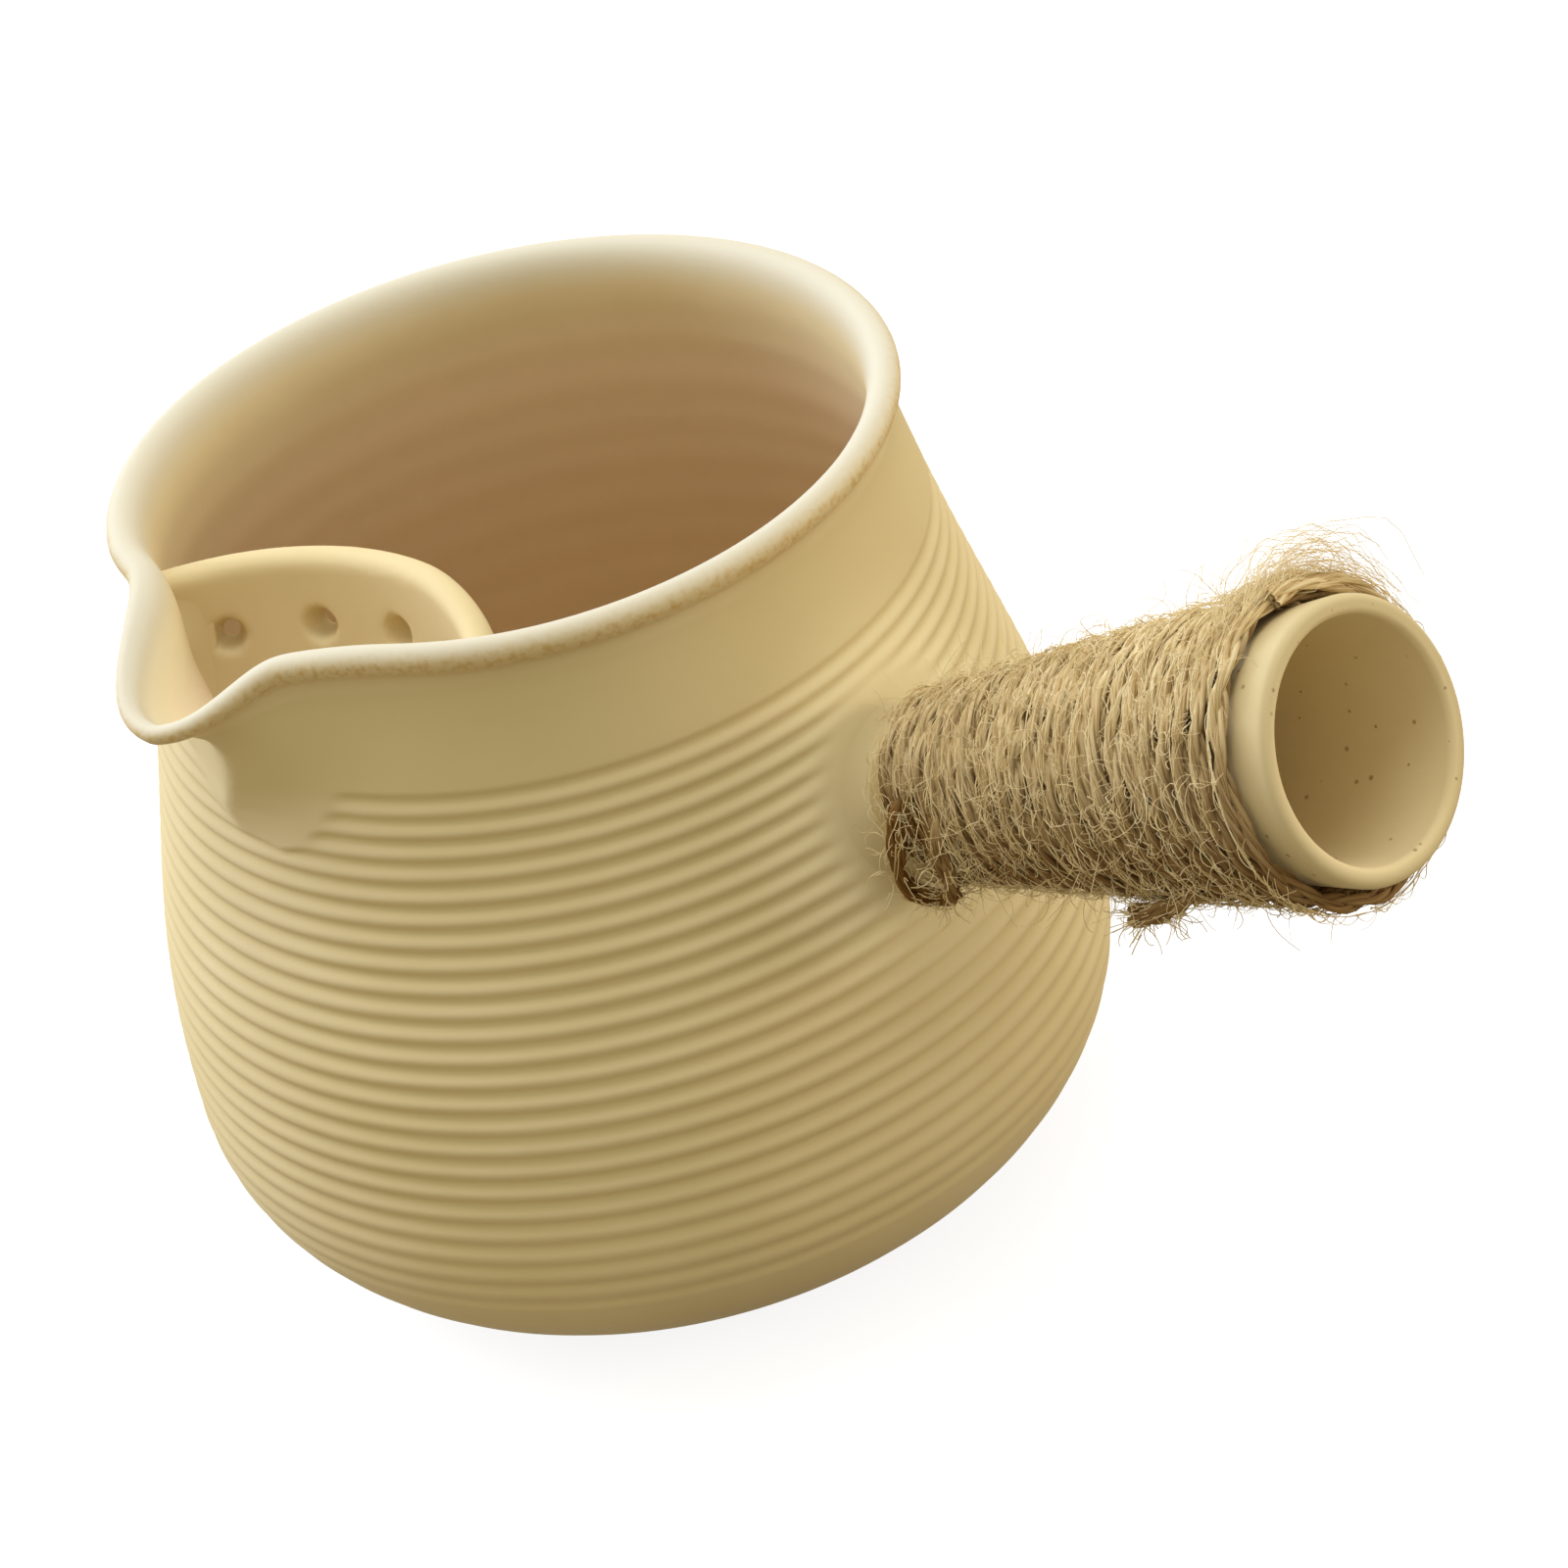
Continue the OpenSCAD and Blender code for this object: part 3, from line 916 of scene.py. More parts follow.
@dataclass
class Strainer:
    """The pierced clay bowl behind the lip and the bed of slip that holds its edge to the wall."""

    pot: PotBody
    radius: float = 33.7
    thickness: float = 3.6
    axis_r: float = 52.0
    azimuth: float = -92.8
    roll: float = 2.5
    top_z: float = 93.8
    hole_r: float = 1.5
    hole_flare: float = 1.4
    hole_pitch: float = 11.5
    hole_turn: float = -1.4
    hole_length: float = 2.2
    hole_sides: int = 24
    rows: tuple[int, ...] = (5, 4, 3)
    top_row_depth: float = 8.8
    sunk: float = 2.1
    droop: float = 3.6
    droop_from: float = 5.0
    droop_over: float = 24.0
    bed_width: float = 4.2
    bed_height: float = 2.0
    bed_fade: float = 7.0
    bed_inset: float = 0.1
    voxel: float = 0.42
    bowl_steps: int = 30
    edge_steps: int = 10
    bowl_turns: int = 96
    room_turns: int = 128

    @property
    def place(self) -> Matrix:
        """Works out where the bowl sits.

        Returns:
            Turn and place of the bowl's centre, in metres.
        """
        turn = Matrix.Rotation(math.radians(self.azimuth), 4, "Z")
        height = self.top_z - self.thickness / 2
        roll = Matrix.Rotation(math.radians(self.roll), 4, "X")
        return turn @ Matrix.Translation(Vector((self.axis_r, 0.0, height)) * MM) @ roll

    @property
    def middle_r(self) -> float:
        """Radius of the middle of the bowl's wall."""
        return self.radius - self.thickness / 2

    def bowl(self, half: float) -> bmesh.types.BMesh:
        """Bowl with a rounded edge.

        Args:
            half: Half of its wall's thickness.

        Returns:
            The bowl in its place.
        """
        outer, inner = self.middle_r + half, self.middle_r - half
        quarter = [math.pi / 2 * i / self.bowl_steps for i in range(self.bowl_steps + 1)]
        section = [(outer * math.sin(turn), -outer * math.cos(turn)) for turn in quarter[:-1]]
        for i in range(self.edge_steps + 1):
            turn = math.pi * i / self.edge_steps
            section.append((self.middle_r + half * math.cos(turn), half * math.sin(turn)))
        section += [(inner * math.cos(turn), -inner * math.sin(turn)) for turn in quarter[1:]]
        bm = spun(section, self.bowl_turns)
        bmesh.ops.transform(bm, matrix=self.place, verts=bm.verts[:])
        return bm

    def room(self, inset: float) -> bmesh.types.BMesh:
        """Makes the solid of the pot's hollow.

        Args:
            inset: Distance that it is drawn in from the wall.

        Returns:
            The solid, open far above the rim.
        """
        rim_z = self.pot.rim_z
        rim_r = self.pot.inner_radius(rim_z) - inset
        top = 2.0 * rim_z
        return spun([*self.pot.inner_profile(inset, rim_z), (rim_r, top), (0.0, top)], self.room_turns)

    def holes(self) -> bmesh.types.BMesh:
        """Makes tapered holes that point at the bowl's centre, each row with one fewer than the row above.

        Returns:
            The holes as solids that cut the bowl.
        """
        bm = bmesh.new()
        top_drop = math.asin((self.top_row_depth - self.thickness / 2) / self.middle_r)
        row_drop = 2.0 * math.asin(self.hole_pitch / (2.0 * self.middle_r))
        length = self.hole_length * self.thickness
        for row, count in enumerate(self.rows):
            drop = top_drop + row * row_drop
            step = 2.0 * math.asin(self.hole_pitch / (2.0 * self.middle_r * math.cos(drop)))
            for i in range(count):
                turn = math.pi + math.radians(self.hole_turn) + step * (i - (count - 1) / 2.0)
                aim = Matrix.Rotation(turn, 4, "Z") @ Matrix.Rotation(math.pi / 2 + drop, 4, "Y")
                reach = Matrix.Translation((0.0, 0.0, self.middle_r * MM))
                bmesh.ops.create_cone(
                    bm,
                    cap_ends=True,
                    segments=self.hole_sides,
                    radius1=(self.hole_r + self.hole_flare) * MM,
                    radius2=(self.hole_r - self.hole_flare) * MM,
                    depth=length * MM,
                    matrix=self.place @ aim @ reach,
                )
        return bm

    def moulded(
        self, bm: bmesh.types.BMesh, trims: Sequence[tuple[str, bmesh.types.BMesh]]
    ) -> bpy.types.Mesh:
        """Trims a shape and softens it as a wet sponge does.

        Args:
            bm: Shape to trim.
            trims: Kind of each cut and the shape that makes it.

        Returns:
            The soft mesh.
        """
        tools = [(kind, new_object(kind, mesh_from(shape, kind))) for kind, shape in trims]
        changes: list[tuple[str, dict[str, Any]]] = [
            ("BOOLEAN", {"operation": kind, "object": tool, "solver": "EXACT"}) for kind, tool in tools
        ]
        changes += [
            ("REMESH", {"mode": "VOXEL", "voxel_size": self.voxel * MM, "adaptivity": 0.0}),
            ("SMOOTH", {"factor": 0.5, "iterations": 7}),
        ]
        mesh = settled(mesh_from(bm, "moulded"), changes)
        for _, tool in tools:
            bpy.data.objects.remove(tool)
        return mesh

    def bed(self) -> bpy.types.Mesh:
        """Makes the bed of slip, hollow towards the strainer and the wall like a wiped joint.

        Returns:
            The bed's mesh in its place.
        """
        trims = [("INTERSECT", self.room(-self.sunk)), ("DIFFERENCE", self.room(self.bed_width))]
        mesh = self.moulded(self.bowl(self.thickness / 2 - self.bed_inset), trims)
        inverse = self.place.inverted()
        for vert in mesh.vertices:
            co = vert.co / MM
            away = self.pot.inner_radius(min(co.z, self.pot.rim_z)) - math.hypot(co.x, co.y)
            swell = self.bed_height * max(0.0, min(1.0, 1.0 - away / self.bed_width)) ** 2
            local = inverse @ vert.co
            swell *= ease(-local.z / MM / self.bed_fade)
            middle = Vector((local.x, local.y, min(0.0, local.z))).normalized() * self.middle_r * MM
            out = local - middle
            vert.co = self.place @ (local + out.normalized() * swell * MM)
        return mesh

    def drooped(self, mesh: bpy.types.Mesh) -> bpy.types.Mesh:
        """Lets the end towards the handle sink, as the soft wall did when it was luted in.

        Args:
            mesh: Mesh to change.

        Returns:
            The same mesh.
        """
        inverse = self.place.inverted()
        for vert in mesh.vertices:
            across = (inverse @ vert.co).y / MM
            vert.co.z -= self.droop * ease((across - self.droop_from) / self.droop_over) * MM
        return mesh

    def dress(self, clay: bpy.types.Material) -> None:
        """Builds the strainer and its bed and places them.

        Args:
            clay: Finish of both.
        """
        trims = [("INTERSECT", self.room(-self.sunk)), ("DIFFERENCE", self.holes())]
        wall = self.moulded(self.bowl(self.thickness / 2), trims)
        place_piece("pierced_strainer", self.drooped(wall), [clay], Slot.CLAY, "strainer")
        place_piece("strainer_joint", self.drooped(self.bed()), [clay], Slot.SLIP, "strainer_slip_bed")


@dataclass
class Handle:
    """The hollow flared handle with its bare ring, and the collar of slip round its root."""

    pot: PotBody
    root_z: float = 62.0
    tilt: float = 18.6
    length: float = 67.0
    root_r: float = 7.5
    ring_r: float = 15.0
    wall: float = 2.2
    end_round: float = 0.9
    sunk: float = 2.2
    # Length at each end of the tube left out of the painted shade under the winding
    bare_end: float = 5.4
    collar_w: float = 4.2
    collar_h: float = 2.4
    collar_in: float = 0.4
    collar_deep: float = 1.2
    collar_sunk: float = 0.1
    unevenness: float = 0.006
    tube_steps: int = 36
    round_steps: int = 6
    collar_steps: int = 12
    meet_steps: int = 12
    tube_turns: int = 128
    collar_turns: int = 96

    @property
    def place(self) -> Matrix:
        """Turn and place of the axis, in metres: local Z runs out along the handle, local X points down."""
        root = Vector((self.pot.outer_radius(self.root_z), 0.0, self.root_z)) * MM
        return Matrix.Translation(root) @ Matrix.Rotation(math.radians(90.0 - self.tilt), 4, "Y")

    def radius(self, along: float) -> float:
        """Outer radius at a distance along the axis."""
        share = along / (self.length - self.end_round)
        return mix(self.root_r, self.ring_r, min(1.0, max(0.0, share)))

    def tube(self) -> bpy.types.Mesh:
        """Makes the clay tube with rounded edges at its open end.

        Returns:
            The tube's mesh in its place.
        """
        end = self.length - self.end_round
        stations = [mix(-self.sunk, end, i / self.tube_steps) for i in range(self.tube_steps + 1)]
        points = [(self.radius(a), a) for a in stations]
        outer_c = self.ring_r - self.end_round
        inner_c = self.ring_r - self.wall + self.end_round
        for centre, high, low in ((outer_c, 90.0, 0.0), (inner_c, 180.0, 90.0)):
            for i in range(1, self.round_steps + 1):
                turn = math.radians(mix(low, high, i / self.round_steps))
                bend_r = centre + self.end_round * math.cos(turn)
                points.append((bend_r, end + self.end_round * math.sin(turn)))
        points += [(self.radius(a) - self.wall, a) for a in reversed(stations)]
        points.append(points[0])
        bm = spun(points, self.tube_turns)
        # Painted shade: the outer face under the winding is marked for a dark under-layer that shows in the
        # gaps between turns
        shade = bm.verts.layers.float.new("inside")
        rim = bm.verts.layers.float.new("rim")
        for vert in bm.verts:
            turn = math.atan2(vert.co.y, vert.co.x)
            along = vert.co.z / MM
            outside = vert.co.xy.length / MM > self.radius(along) - 0.5 * self.wall
            vert[shade] = float(outside and self.bare_end < along < self.length - self.bare_end)
            # Painted shade: the whole outer face takes the finish's darker rim tone, standing in for the
            # pot's shadow
            vert[rim] = float(outside)
            vert.co.xy *= 1.0 + self.unevenness * waver(math.cos(turn), math.sin(turn), vert.co.z * 20.0)
        bmesh.ops.transform(bm, matrix=self.place, verts=bm.verts[:])
        return mesh_from(bm, "handle_tube")

    def wall_along(self, x: float, y: float) -> float:
        """Distance along the axis at which a line beside it meets the pot's wall.

        Args:
            x: Distance of the line below the axis.
            y: Distance of the line to the side of the axis.

        Returns:
            The distance along the axis, in millimetres.
        """
        along = 0.0
        for _ in range(self.meet_steps):
            point = self.place @ (Vector((x, y, along)) * MM) / MM
            along -= math.hypot(point.x, point.y) - self.pot.outer_radius(point.z)
        return along

    def collar(self) -> bpy.types.Mesh:
        """Makes the hollow fillet of slip that follows the wall.

        Returns:
            The collar's mesh in its place.
        """
        inner = self.root_r - self.collar_in
        section = [(inner, -self.collar_deep)]
        for i in range(self.collar_steps + 1):
            out = math.sin(math.pi / 2 * i / self.collar_steps)
            height = self.collar_h * (1.0 - math.sin(math.acos(1 - out)))
            section.append((inner + self.collar_w * out, height - self.collar_sunk))
        section.append((inner + self.collar_w, -self.collar_deep))
        section.append(section[0])
        bm = spun(section, self.collar_turns)
        for vert in bm.verts:
            x, y = vert.co.x / MM, vert.co.y / MM
            vert.co.z += self.wall_along(x, y) * MM
        bmesh.ops.transform(bm, matrix=self.place, verts=bm.verts[:])
        return mesh_from(bm, "handle_collar")

    def dress(self, clay: bpy.types.Material, slip: bpy.types.Material) -> None:
        """Builds the handle and its collar and places them."""
        place_piece("hollow_handle", self.tube(), [clay], Slot.CLAY, "handle_tube")
        place_piece("handle_joint", self.collar(), [slip], Slot.SLIP, "handle_slip_collar")


@dataclass(frozen=True)
class LyingFibres:
    """Fibres that lie on the turns, some in tight curls and some easy. Spans run from least to most."""

    amount: int = 2700
    points: int = 7
    stray: float = 0.36
    heading: float = 2.0
    heading_spread: float = 7.0
    tight_share: float = 0.6
    tight_curl: Span = (-230.0, 230.0)
    tight_length: Span = (2.0, 5.0)
    tight_lift: Span = (0.1, 0.9)
    easy_curl: float = 24.0
    easy_length: Span = (4.0, 12.0)
    easy_lift: Span = (0.0, 0.3)
    thick: Span = (0.55, 1.25)
    taper: float = 0.5
    ring_zone: float = 3.5
    ring_cross: float = 0.25
    spill: float = 1.0
    shades: tuple[int, ...] = (8, 3, 1)


@dataclass(frozen=True)
class LooseFibres:
    """Fibres with one free end that curls away from the winding. Spans run from least to most."""

    amount: int = 1000
    points: int = 9
    outward: Span = (0.1, 0.9)
    sideways: Span = (-1.0, 1.0)
    lengthways: Span = (-0.8, 0.8)
    bend: Span = (8.0, 42.0)
    length: Span = (2.0, 7.5)
    thick: Span = (0.45, 0.9)
    taper: float = 0.5
    shades: tuple[int, ...] = (5, 4, 1)


@dataclass(frozen=True)
class Tuft:
    """Pale hairs of the unravelled end, some flat and some raised. Spans run from least to most."""

    amount: int = 260
    points: int = 12
    first_angle: float = 176.0
    first_spread: float = 13.0
    last_angle: float = 114.0
    last_spread: float = 14.0
    along: Span = (57.5, 63.4)
    drift: float = 1.0
    drift_spread: float = 2.0
    flat_share: float = 0.6
    flat_rise: Span = (0.2, 1.0)
    flat_back: Span = (0.0, 5.0)
    high_rise: float = 6.0
    high_share: Span = (0.35, 1.0)
    reach: Span = (0.4, 1.0)
    thick: Span = (0.35, 0.75)
    taper: float = 0.4
    arch_power: float = 0.8
    kink: float = 1.3
    shades: tuple[int, ...] = (6, 1, 0)


@dataclass(frozen=True)
class CutEnd:
    """Short fibres that spread from the twine's cut end."""

    amount: int = 60
    points: int = 5
    spread: float = 0.5
    base_spread: float = 1.8
    length: Span = (0.6, 2.4)
    curl: float = 0.5
    thick: float = 0.9


@dataclass(frozen=True)
class Frizz:
    """Short curled fibres all round the fold and the tail."""

    on_fold: int = 220
    on_tail: int = 120
    points: int = 6
    outward: Span = (0.0, 0.6)
    bend: Span = (5.0, 40.0)
    length: Span = (1.5, 4.5)
    taper: float = 0.4


@dataclass
class TwineWinding:
    """Two-ply jute twine wound on the handle, with its fold, its cut tail and the fibres that leave it."""

    handle: Handle
    diameter: float = 2.3
    pitch: float = 2.78
    lap: float = 0.4
    lap_turns: float = 0.75
    lap_fade: float = 0.4
    wander: float = 0.42
    wander_pace: float = 1.7
    drift: float = 0.3
    drift_pace: float = 0.43
    bulge: float = 0.2
    bulge_pace: float = 2.3
    crowding: float = 0.15
    apart: float = 0.5
    apart_turns: float = 5.0
    apart_fade: float = 3.0
    last_turn: float = 0.95
    last_fade: float = 0.3
    turns: float = 21.6
    start: float = 4.15
    end: float = 62.45
    start_angle: float = -40.0
    seat: float = 0.3
    plies: int = 2
    yarns: int = 3
    lay: float = 20.0
    yarn_lay: float = 11.0
    ply_off: float = 0.47
    yarn_off: float = 0.34
    yarn_r: float = 0.35
    yarn_sides: int = 6
    yarn_uneven: float = 0.3
    yarn_pace: float = 0.16
    twist_uneven: float = 6.0
    twist_pace: float = 0.035
    fold_swell: float = 1.05
    tail_swell: float = 1.2
    step: float = 0.95
    route_steps: int = 7
    fibre_r: float = 0.065
    fibre_sides: int = 4
    lying: LyingFibres = LyingFibres()
    loose: LooseFibres = LooseFibres()
    tuft: Tuft = Tuft()
    cut_end: CutEnd = CutEnd()
    frizz: Frizz = Frizz()
    # Painted shade on the twine: darker underneath and between turns, away from the top by the pot wall at
    # the root, and darker towards the ring; fibres in it take the tan or dark finish
    below_shade: float = 0.85
    below_from: float = -0.95
    below_fade: float = 1.35
    beside_from: float = -0.9
    beside_fade: float = 0.7
    root_shade_z: float = 21.0
    root_shade_fade: float = 12.0
    ring_darkening: float = 0.6
    ring_darkening_z: float = 44.0
    ring_darkening_fade: float = 10.0
    gap_shade: float = 0.8
    gap_from: float = 0.1
    gap_fade: float = 0.7
    fibre_shade: float = 1.25
    shaded_tan: float = 0.25
    seed: int = 11
    # Points of the fold at the root and of the cut tail: degrees round the handle from its underside,
    # millimetres along it and millimetres above its clay
    fold: tuple[tuple[float, float, float], ...] = (
        (-112.0, 9.5, 2.0),
        (-88.0, 7.0, 3.4),
        (-66.0, 4.6, 4.2),
        (-50.0, 4.2, 4.4),
        (-44.0, 6.8, 4.4),
        (-54.0, 10.2, 4.2),
        (-78.0, 13.0, 3.2),
        (-104.0, 14.5, 2.0),
    )
    tail: tuple[tuple[float, float, float], ...] = (
        (-52.0, 47.0, 1.4),
        (-47.0, 43.5, 3.0),
        (-44.0, 39.0, 4.2),
        (-43.0, 35.0, 4.6),
    )

    def centre(self, turn: float) -> Vector:
        """Middle of the wound twine in the handle's own axes.

        Args:
            turn: Number of turns from the start.

        Returns:
            The point, in millimetres.
        """
        stray = self.wander * waver(turn * self.wander_pace, 0.3)
        stray += self.drift * waver(turn * self.drift_pace, 5.0)
        along = self.start + self.pitch * turn + stray
        # The last turn runs beside the ring and ends on top, under the tuft
        along = min(along, self.end - self.crowding * (self.turns - turn))
        # The turns before it stand a little back from it
        back = ease((turn - self.turns + self.apart_turns) / self.apart_fade)
        back *= ease((self.turns - self.last_turn - turn) / self.last_fade)
        along -= self.apart * back
        r = self.handle.radius(along) + self.seat + self.diameter / 2
        r += self.bulge * waver(turn * self.bulge_pace, 9.0)
        r += self.lap * ease((turn - self.turns + self.lap_turns) / self.lap_fade)
        angle = math.radians(self.start_angle) + FULL_TURN * turn
        return self.around(angle, along, r)

    def wound(self) -> list[Vector]:
        """Lays the winding from the root to the ring.

        Returns:
            Its path in the handle's own axes.
        """
        mean_r = self.handle.radius(self.handle.length / 2) + self.diameter / 2
        count = int(self.turns * FULL_TURN * mean_r / self.step)
        return [self.centre(self.turns * i / count) for i in range(count + 1)]

    def laid(self, route: Sequence[tuple[float, float, float]]) -> list[Vector]:
        """Smooth path through the points of a route that leaves the winding.

        Args:
            route: Degrees round the handle, millimetres along it and millimetres above its clay.

        Returns:
            The path in the handle's own axes.
        """
        ends = [route[0], *route, route[-1]]
        path = []
        for four in zip(ends, ends[1:], ends[2:], ends[3:]):
            for i in range(self.route_steps):
                t = i / self.route_steps
                weights = (
                    (2.0 * t * t - t - t**3) / 2.0,
                    (2.0 - 5.0 * t * t + 3.0 * t**3) / 2.0,
                    (t + 4.0 * t * t - 3.0 * t**3) / 2.0,
                    (t**3 - t * t) / 2.0,
                )
                turn, along, height = (sum(w * p[k] for w, p in zip(weights, four)) for k in range(3))
                path.append(self.around(math.radians(turn), along, self.handle.radius(along) + height))
        return path

    @staticmethod
    def around(angle: float, along: float, r: float) -> Vector:
        """Point at an angle, a distance along the handle and a distance from its axis."""
        return Vector((r * math.cos(angle), r * math.sin(angle), along))

    def twisted(self, path: Sequence[Vector], swell: float = 1.0) -> list[Strand]:
        """Twists yarns into plies and plies into twine along a path.

        Args:
            path: Middle of the twine in the handle's own axes.
            swell: Thickness as a share of the wound twine's.

        Returns:
            One strand for each yarn.
        """
        strands: list[Strand] = [[] for _ in range(self.plies * self.yarns)]
        length = 0.0
        for i, here in enumerate(path):
            before, after = path[max(i - 1, 0)], path[min(i + 1, len(path) - 1)]
            run = (after - before).normalized()
            side = run.cross(Vector((here.x, here.y, 0.0))).normalized()
            out = side.cross(run)
            length += (here - before).length
            for number, strand in enumerate(strands):
                ply, yarn = divmod(number, self.yarns)
                ply_turn = FULL_TURN * (length / self.lay + ply / self.plies)
                ply_turn += self.twist_uneven * waver(length * self.twist_pace, 2.0)
                yarn_turn = FULL_TURN * (yarn / self.yarns - length / self.yarn_lay)
                off = (out * math.cos(ply_turn) + side * math.sin(ply_turn)) * self.ply_off * swell
                off += (out * math.cos(yarn_turn) + side * math.sin(yarn_turn)) * self.yarn_off * swell
                thick = 1.0 + self.yarn_uneven * waver(length * self.yarn_pace, 4.0 + number)
                strand.append((here + off, swell * thick))
        return strands

    def swept(
        self, name: str, strands: Sequence[Strand], radius: float, sides: int, kinds: Sequence[int]
    ) -> bpy.types.Mesh:
        """Sweeps a round section along strands.

        Args:
            name: Name of the mesh.
            strands: Points of each strand with their share of the radius.
            radius: Radius of a strand, in millimetres.
            sides: Number of the section's sides, 4 or another even number.
            kinds: Number of each strand's material.

        Returns:
            The mesh, in its place on the handle.
        """
        curve = bpy.data.curves.new(name, "CURVE")
        curve.dimensions = "3D"
        curve.bevel_depth = radius * MM
        curve.bevel_resolution = sides // 2 - 2
        for strand, kind in zip(strands, kinds):
            spline = curve.splines.new("POLY")
            spline.points.add(len(strand) - 1)
            spline.material_index = kind
            for point, (co, share) in zip(spline.points, strand):
                point.co = (*(self.handle.place @ (co * MM)), 1.0)
                point.radius = share
        for _ in range(max(kinds) + 1):
            curve.materials.append(None)
        return taken_mesh(new_object(name, curve))

    def mark_fibres(self, mesh: bpy.types.Mesh, strands: Sequence[Strand]) -> None:
        """Writes each vertex's place in its own yarn, along it and across its section, in metres.

        Args:
            mesh: Mesh swept along the strands, ring by ring.
            strands: The yarns.
        """
        places: list[float] = []
        painted_shades: list[float] = []
        for number, strand in enumerate(strands):
            along = 0.05 * number
            last = strand[0][0]
            for co, _ in strand:
                along += (co - last).length * MM
                last = co
                # Painted shade for each ring of the yarn
                painted_shades += [self.painted_shade(co)] * self.yarn_sides
                for k in range(self.yarn_sides):
                    turn = FULL_TURN * k / self.yarn_sides
                    across = self.yarn_r * MM
                    places += [along, across * math.cos(turn), across * math.sin(turn)]
        mesh.attributes.new("fibre", "FLOAT_VECTOR", "POINT").data.foreach_set("vector", places)
        mesh.attributes.new("painted_shade", "FLOAT", "POINT").data.foreach_set("value", painted_shades)

    def painted_shade(self, co: Vector) -> float:
        """Tells how much painted shade darkens the twine: most on the underside and between turns, away from
        the top by the pot wall at the root, and some towards the ring.

        Args:
            co: Point of the twine in the handle's own axes.

        Returns:
            Share by which the twine is darkened.
        """
        r = math.hypot(co.x, co.y)
        down = co.x / r
        deep = self.handle.radius(co.z) + self.seat + self.diameter / 2 - r
        below = self.below_shade * ease((down - self.below_from) / self.below_fade)
        beside = ease((down - self.beside_from) / self.beside_fade)
        root = ease((self.root_shade_z - co.z) / self.root_shade_fade)
        ring = self.ring_darkening * ease((co.z - self.ring_darkening_z) / self.ring_darkening_fade)
        gap = self.gap_shade * ease((deep - self.gap_from) / self.gap_fade)
        return max(below, beside * max(root, ring), gap)

    def crown(self, angle: float, along: float) -> float:
        """Distance from the handle's axis to the winding's outer face.

        Args:
            angle: Angle round the handle, in radians.
            along: Distance along the handle.

        Returns:
            The distance, a little less between two turns than on one.
        """
        half = self.diameter / 2
        best = self.handle.radius(along) + self.seat + 0.5 * half
        share = (angle - math.radians(self.start_angle)) / FULL_TURN
        nearest = round((along - self.start) / self.pitch - share)
        for number in (nearest - 1, nearest, nearest + 1):
            middle = self.centre(min(self.turns, max(0.0, number + share)))
            off = abs(along - middle.z)
            if off < half:
                best = max(best, math.hypot(middle.x, middle.y) + math.sqrt(half * half - off * off))
        return best

    def lying_fibres(self, dice: random.Random) -> list[Strand]:
        """Draws fibres that lie on the turns, most of them along the twine and some curled across it.

        Args:
            dice: Source of the random draws.

        Returns:
            The fibres.
        """
        kind = self.lying
        last = kind.points - 1
        strands = []
        for _ in range(kind.amount):
            turn = dice.uniform(0.0, self.turns)
            angle = math.radians(self.start_angle) + FULL_TURN * turn
            along = self.centre(turn).z + dice.gauss(0.0, kind.stray)
            # Beside the ring the fibres stay with their own turn
            cross = kind.ring_cross if along > self.end - kind.ring_zone else 1.0
            heading = math.radians(dice.gauss(kind.heading, kind.heading_spread)) * cross
            tight = dice.random() < kind.tight_share
            curl = dice.uniform(*kind.tight_curl) if tight else dice.gauss(0.0, kind.easy_curl)
            bend = math.radians(curl) * cross / last
            stride = dice.uniform(*(kind.tight_length if tight else kind.easy_length)) / last
            way = dice.choice((-1.0, 1.0))
            lift = dice.uniform(*(kind.tight_lift if tight else kind.easy_lift))
            thick = dice.uniform(*kind.thick)
            strand: Strand = []
            for i in range(kind.points):
                t = i / last
                r = self.crown(angle, along) + lift * math.sin(math.pi * t)
                strand.append((self.around(angle, along, r), thick * (1.0 - kind.taper * t)))
                angle += way * stride * math.cos(heading) / r
                along += way * stride * math.sin(heading)
                along = min(self.end + kind.spill, max(self.start - kind.spill, along))
                heading += bend
            strands.append(strand)
        return strands

    @staticmethod
    def curled(
        spot: Vector, heading: Vector, bend: Matrix, stride: float, count: int, thick: float, taper: float
    ) -> Strand:
        """Grows a fibre that turns by the same bend at every step.

        Args:
            spot: Its root.
            heading: Direction in which it starts.
            bend: Turn at each step.
            stride: Length of a step.
            count: Number of points.
            thick: Share of the fibre's radius at the root.
            taper: Share of that radius that is lost towards the tip.

        Returns:
            The fibre.
        """
        strand: Strand = []
        for i in range(count):
            strand.append((spot.copy(), thick * (1.0 - taper * i / count)))
            spot = spot + heading * stride
            heading = bend @ heading
        return strand

    def loose_fibres(self, dice: random.Random) -> list[Strand]:
        """Draws fibres with one free end that curls away from the winding.

        Args:
            dice: Source of the random draws.

        Returns:
            The fibres.
        """
        kind = self.loose
        strands = []
        for _ in range(kind.amount):
            angle = dice.uniform(0.0, FULL_TURN)
            spot = self.around(angle, dice.uniform(self.start, self.end), 0.0)
            out = self.around(angle, 0.0, 1.0)
            spot += out * self.crown(angle, spot.z)
            past = Vector((-out.y, out.x, 0.0))
            heading = out * dice.uniform(*kind.outward) + past * dice.uniform(*kind.sideways)
            heading.z = dice.uniform(*kind.lengthways)
            heading.normalize()
            axis = Vector([dice.uniform(-1.0, 1.0) for _ in range(3)])
            bend = Matrix.Rotation(math.radians(dice.uniform(*kind.bend)), 3, axis)
            stride = dice.uniform(*kind.length) / (kind.points - 1)
            thick = dice.uniform(*kind.thick)
            strands.append(self.curled(spot, heading, bend, stride, kind.points, thick, kind.taper))
        return strands

